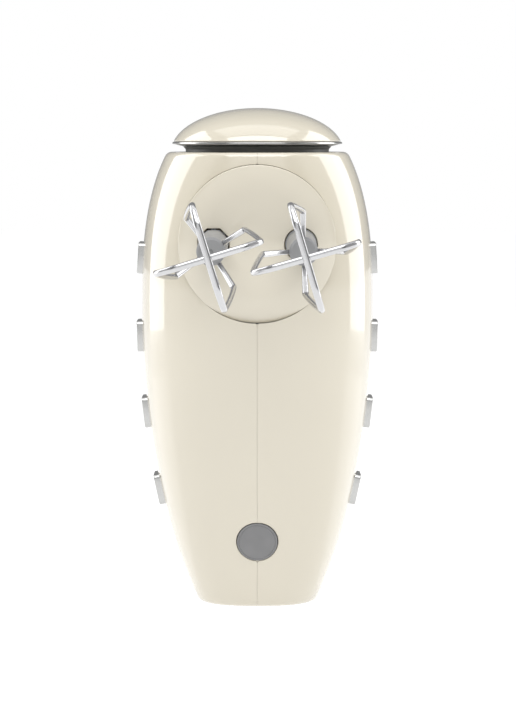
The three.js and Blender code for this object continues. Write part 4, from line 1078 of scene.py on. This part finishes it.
def resampled(points, step):
    """A line's points, and what goes with them, at even steps along it."""
    points = np.asarray(points)
    reach = np.concatenate([[0], np.cumsum(np.linalg.norm(np.diff(points[:, :2], axis=0), axis=1))])
    places = np.linspace(0, reach[-1], int(reach[-1] / step))
    return np.column_stack([np.interp(places, reach, column) for column in points.T])


def wire_half():
    """One half of a loop's line, from the hub to the tip, with its corners rounded and its section's size."""
    corner_points = np.array(WIRE_LINE)
    line = np.array(softened([tuple(p[:3]) for p in corner_points], closed=False, steps=14))
    order = corner_points[:, :2]
    reach = np.concatenate([[0], np.cumsum(np.linalg.norm(np.diff(order, axis=0), axis=1))])
    along = np.concatenate([[0], np.cumsum(np.linalg.norm(np.diff(line, axis=0), axis=1))])
    along *= reach[-1] / along[-1]
    sizes = [np.interp(along, reach, corner_points[:, i]) for i in (3, 4)]
    return resampled(np.column_stack([line, *sizes]), 0.55)


def loop(x, turns, lift):
    """A beater's wire: out from the hub, round the tip and back, twisted about the beater's axis."""
    half = wire_half()
    whole = np.concatenate([half, half[-2::-1] * np.array([-1, 1, 1, 1])])
    share = np.clip((BEND[1] - whole[:, 1]) / (BEND[1] - WIDEST[1]), 0, 1)
    angle = np.radians(turns[0] + (turns[1] - turns[0]) * share)
    raised = whole[:, 1] + lift * np.clip((BEND[1] - whole[:, 1]) / (BEND[1] - TIP_Y), 0, None)
    line = np.column_stack([whole[:, 0] * np.cos(angle), raised, whole[:, 0] * np.sin(angle)])
    along = np.gradient(line, axis=0)
    along /= np.linalg.norm(along, axis=1, keepdims=True)
    wide = np.column_stack([-np.sin(angle), 0 * angle, np.cos(angle)])
    wide -= np.sum(wide * along, axis=1, keepdims=True) * along
    wide /= np.linalg.norm(wide, axis=1, keepdims=True)
    deep = np.cross(along, wide)
    return swept(line + np.array([x, 0, SPINDLE_Z]), wide, deep, whole[:, 2], whole[:, 3], 16)


def octagon_collar(x, radius, y0, y1):
    """The left hub's collar, which fits only the octagonal socket."""
    def ring(size, y):
        return [(x + size * math.cos(a), y, SPINDLE_Z + size * math.sin(a))
                for a in math.pi / 8 + np.arange(8) * math.pi / 4]

    return lofted([ring(radius - 0.35, y0), ring(radius, y0 + 0.4), ring(radius, y1 - 0.2),
                   ring(radius - 0.2, y1)])


def beaters():
    for side, x in (("left", -SPINDLE_X), ("right", SPINDLE_X)):
        body = f"beater_{side}"
        end, top = HUB_Y
        collar_y = top - COLLAR_LENGTH
        sleeve = turned([
            (0, end + 0.5, 0), (0.7, end + 0.5, 0.1), (0.9, end, 0.15), (4.5, end, 0.3),
            (5.4, end + 1.0, 0.5), (5.8, collar_y - 9, 2), (5.8, collar_y - 1.2, 0.2),
            (5.3, collar_y - 0.8, 0.2), (5.3, top, 0.2), (3.4, top, 0.1), (3.4, top - 1.0, 0),
            (0, top - 1.0, 0)], (x, 0, SPINDLE_Z), sides=96)
        if side == "left":
            collar = octagon_collar(x, 6.1, collar_y, top - 0.3)
        else:
            collar = turned([(5.0, collar_y, 0), (5.9, collar_y, 0.2), (6.25, collar_y + 0.4, 0.2),
                             (6.25, top - 0.3, 0.3), (5.0, top - 0.3, 0)], (x, 0, SPINDLE_Z), sides=96)
        show(f"{body}_hub", body, "beater_grey_plastic", [f"{body}_hub"], *merged(sleeve, collar), sharp=30)
        for kind, turns in LOOP_TURNS[side].items():
            name = f"{body}_{kind}_wire"
            show(name, body, "beater_chrome", [name], *loop(x, turns, INNER_LIFT if kind == "inner" else 0))


# ---- studio
# Everything here is in metres. The room's light by direction, from the camera's side (0) to the far side (1):
# bright behind the camera, a dark ring that the polished wires show, bright all round, dimmer at the back.
ROOM_STOPS = ((0.0, 0.85), (0.09, 0.85), (0.14, 0.14), (0.21, 0.14), (0.29, 0.42), (0.79, 0.42),
              (0.83, 0.32), (1.0, 0.32))
LIGHT_PANEL = ((0.035, -0.004), (0.60, -0.06), (0.48, 0.42), (0.03, 0.035))  # on the floor, to the right
SOFTBOXES = [  # place, width, height, power
    ((-0.95, 0.34, 0.50), 0.75, 1.3, 6.5),
    ((0.95, 0.34, 0.50), 0.75, 1.3, 6.5),
    ((0.0, -0.75, 1.35), 1.6, 0.9, 15),
    ((0.0, 0.15, 1.5), 1.4, 0.8, 3),
]


def studio():
    camera = bpy.data.objects.new("camera", bpy.data.cameras.new("camera"))
    camera.location = (0.0003, -1.092, 0.1949)
    camera.rotation_euler = (math.radians(90 - 4.896), 0, 0)
    camera.data.lens = 133.6
    camera.data.sensor_width = 36
    bpy.context.scene.collection.objects.link(camera)
    bpy.context.scene.camera = camera
    bpy.context.scene.view_settings.view_transform = "Standard"

    world = bpy.data.worlds.new("studio")
    world.use_nodes = True
    tree = world.node_tree
    direction = added(tree, "TexCoord", "Generated", {})
    depth = added(tree, "SeparateXYZ", "Y", {"Vector": direction})
    upright = added(tree, "MapRange", "Result", {"Value": depth, "From Min": -1})
    levels = tree.nodes.new("ShaderNodeValToRGB")
    for place, _ in ROOM_STOPS[1:-1]:
        levels.color_ramp.elements.new(place)
    for stop, (place, level) in zip(levels.color_ramp.elements, ROOM_STOPS):
        stop.position = place
        stop.color = (level, level, level, 1)
    filled(tree, levels, {"Fac": upright})
    room = filled(tree, tree.nodes["Background"], {
        "Color": (1, 1, 1, 1), "Strength": levels.outputs["Color"]})
    backdrop = added(tree, "Background", "Background", {"Color": (1, 1, 1, 1), "Strength": 1.0})
    seen = added(tree, "LightPath", "Is Camera Ray", {})
    mixed = added(tree, "MixShader", "Shader", {0: seen, 1: room.outputs["Background"], 2: backdrop})
    filled(tree, tree.nodes["World Output"], {"Surface": mixed})
    bpy.context.scene.world = world

    bpy.ops.mesh.primitive_grid_add(x_subdivisions=2, y_subdivisions=2, size=8)
    floor = bpy.context.object
    floor.name = "floor"
    floor.data.materials.append(finish(
        "floor_white", (0.30, 0.30, 0.30), 0.6, mottle=(2, 0.004), specular=0.2, glow=0.86))

    glowing = finish("light_panel", (0.3, 0.3, 0.3), 0.5, mottle=(2, 0.004), glow=0.98)
    for side, sign in (("right", 1), ("left", -1)):
        mesh = bpy.data.meshes.new(f"light_panel_{side}")
        mesh.from_pydata([(sign * x, y, 0.0004) for x, y in LIGHT_PANEL], [], [(0, 1, 2, 3)[::sign]])
        mesh.materials.append(glowing)
        panel_light = bpy.data.objects.new(mesh.name, mesh)
        bpy.context.scene.collection.objects.link(panel_light)

    aim = np.array([0, 0.02, 0.1])
    for index, (place, width, height, power) in enumerate(SOFTBOXES):
        data = bpy.data.lights.new(f"softbox_{index + 1}", "AREA")
        data.shape = "RECTANGLE"
        data.size, data.size_y, data.energy = width, height, power
        light = bpy.data.objects.new(data.name, data)
        light.location = place
        back = np.array(place) - aim
        light.rotation_euler = (math.atan2(math.hypot(back[0], back[1]), back[2]), 0,
                                math.atan2(back[1], back[0]) + math.pi / 2)
        bpy.context.scene.collection.objects.link(light)


studio()
casing()
nose()
trims()
feet()
gland()
screws()
panel()
keys()
ejector()
spring()
beaters()

slots = {part["node"]: part["material_slot"] for part in frame["record"]["subparts"]}
for node, obj in frame["nodes"].items():
    obj.data.materials.clear()
    obj.data.materials.append(finishes[slots[node]])
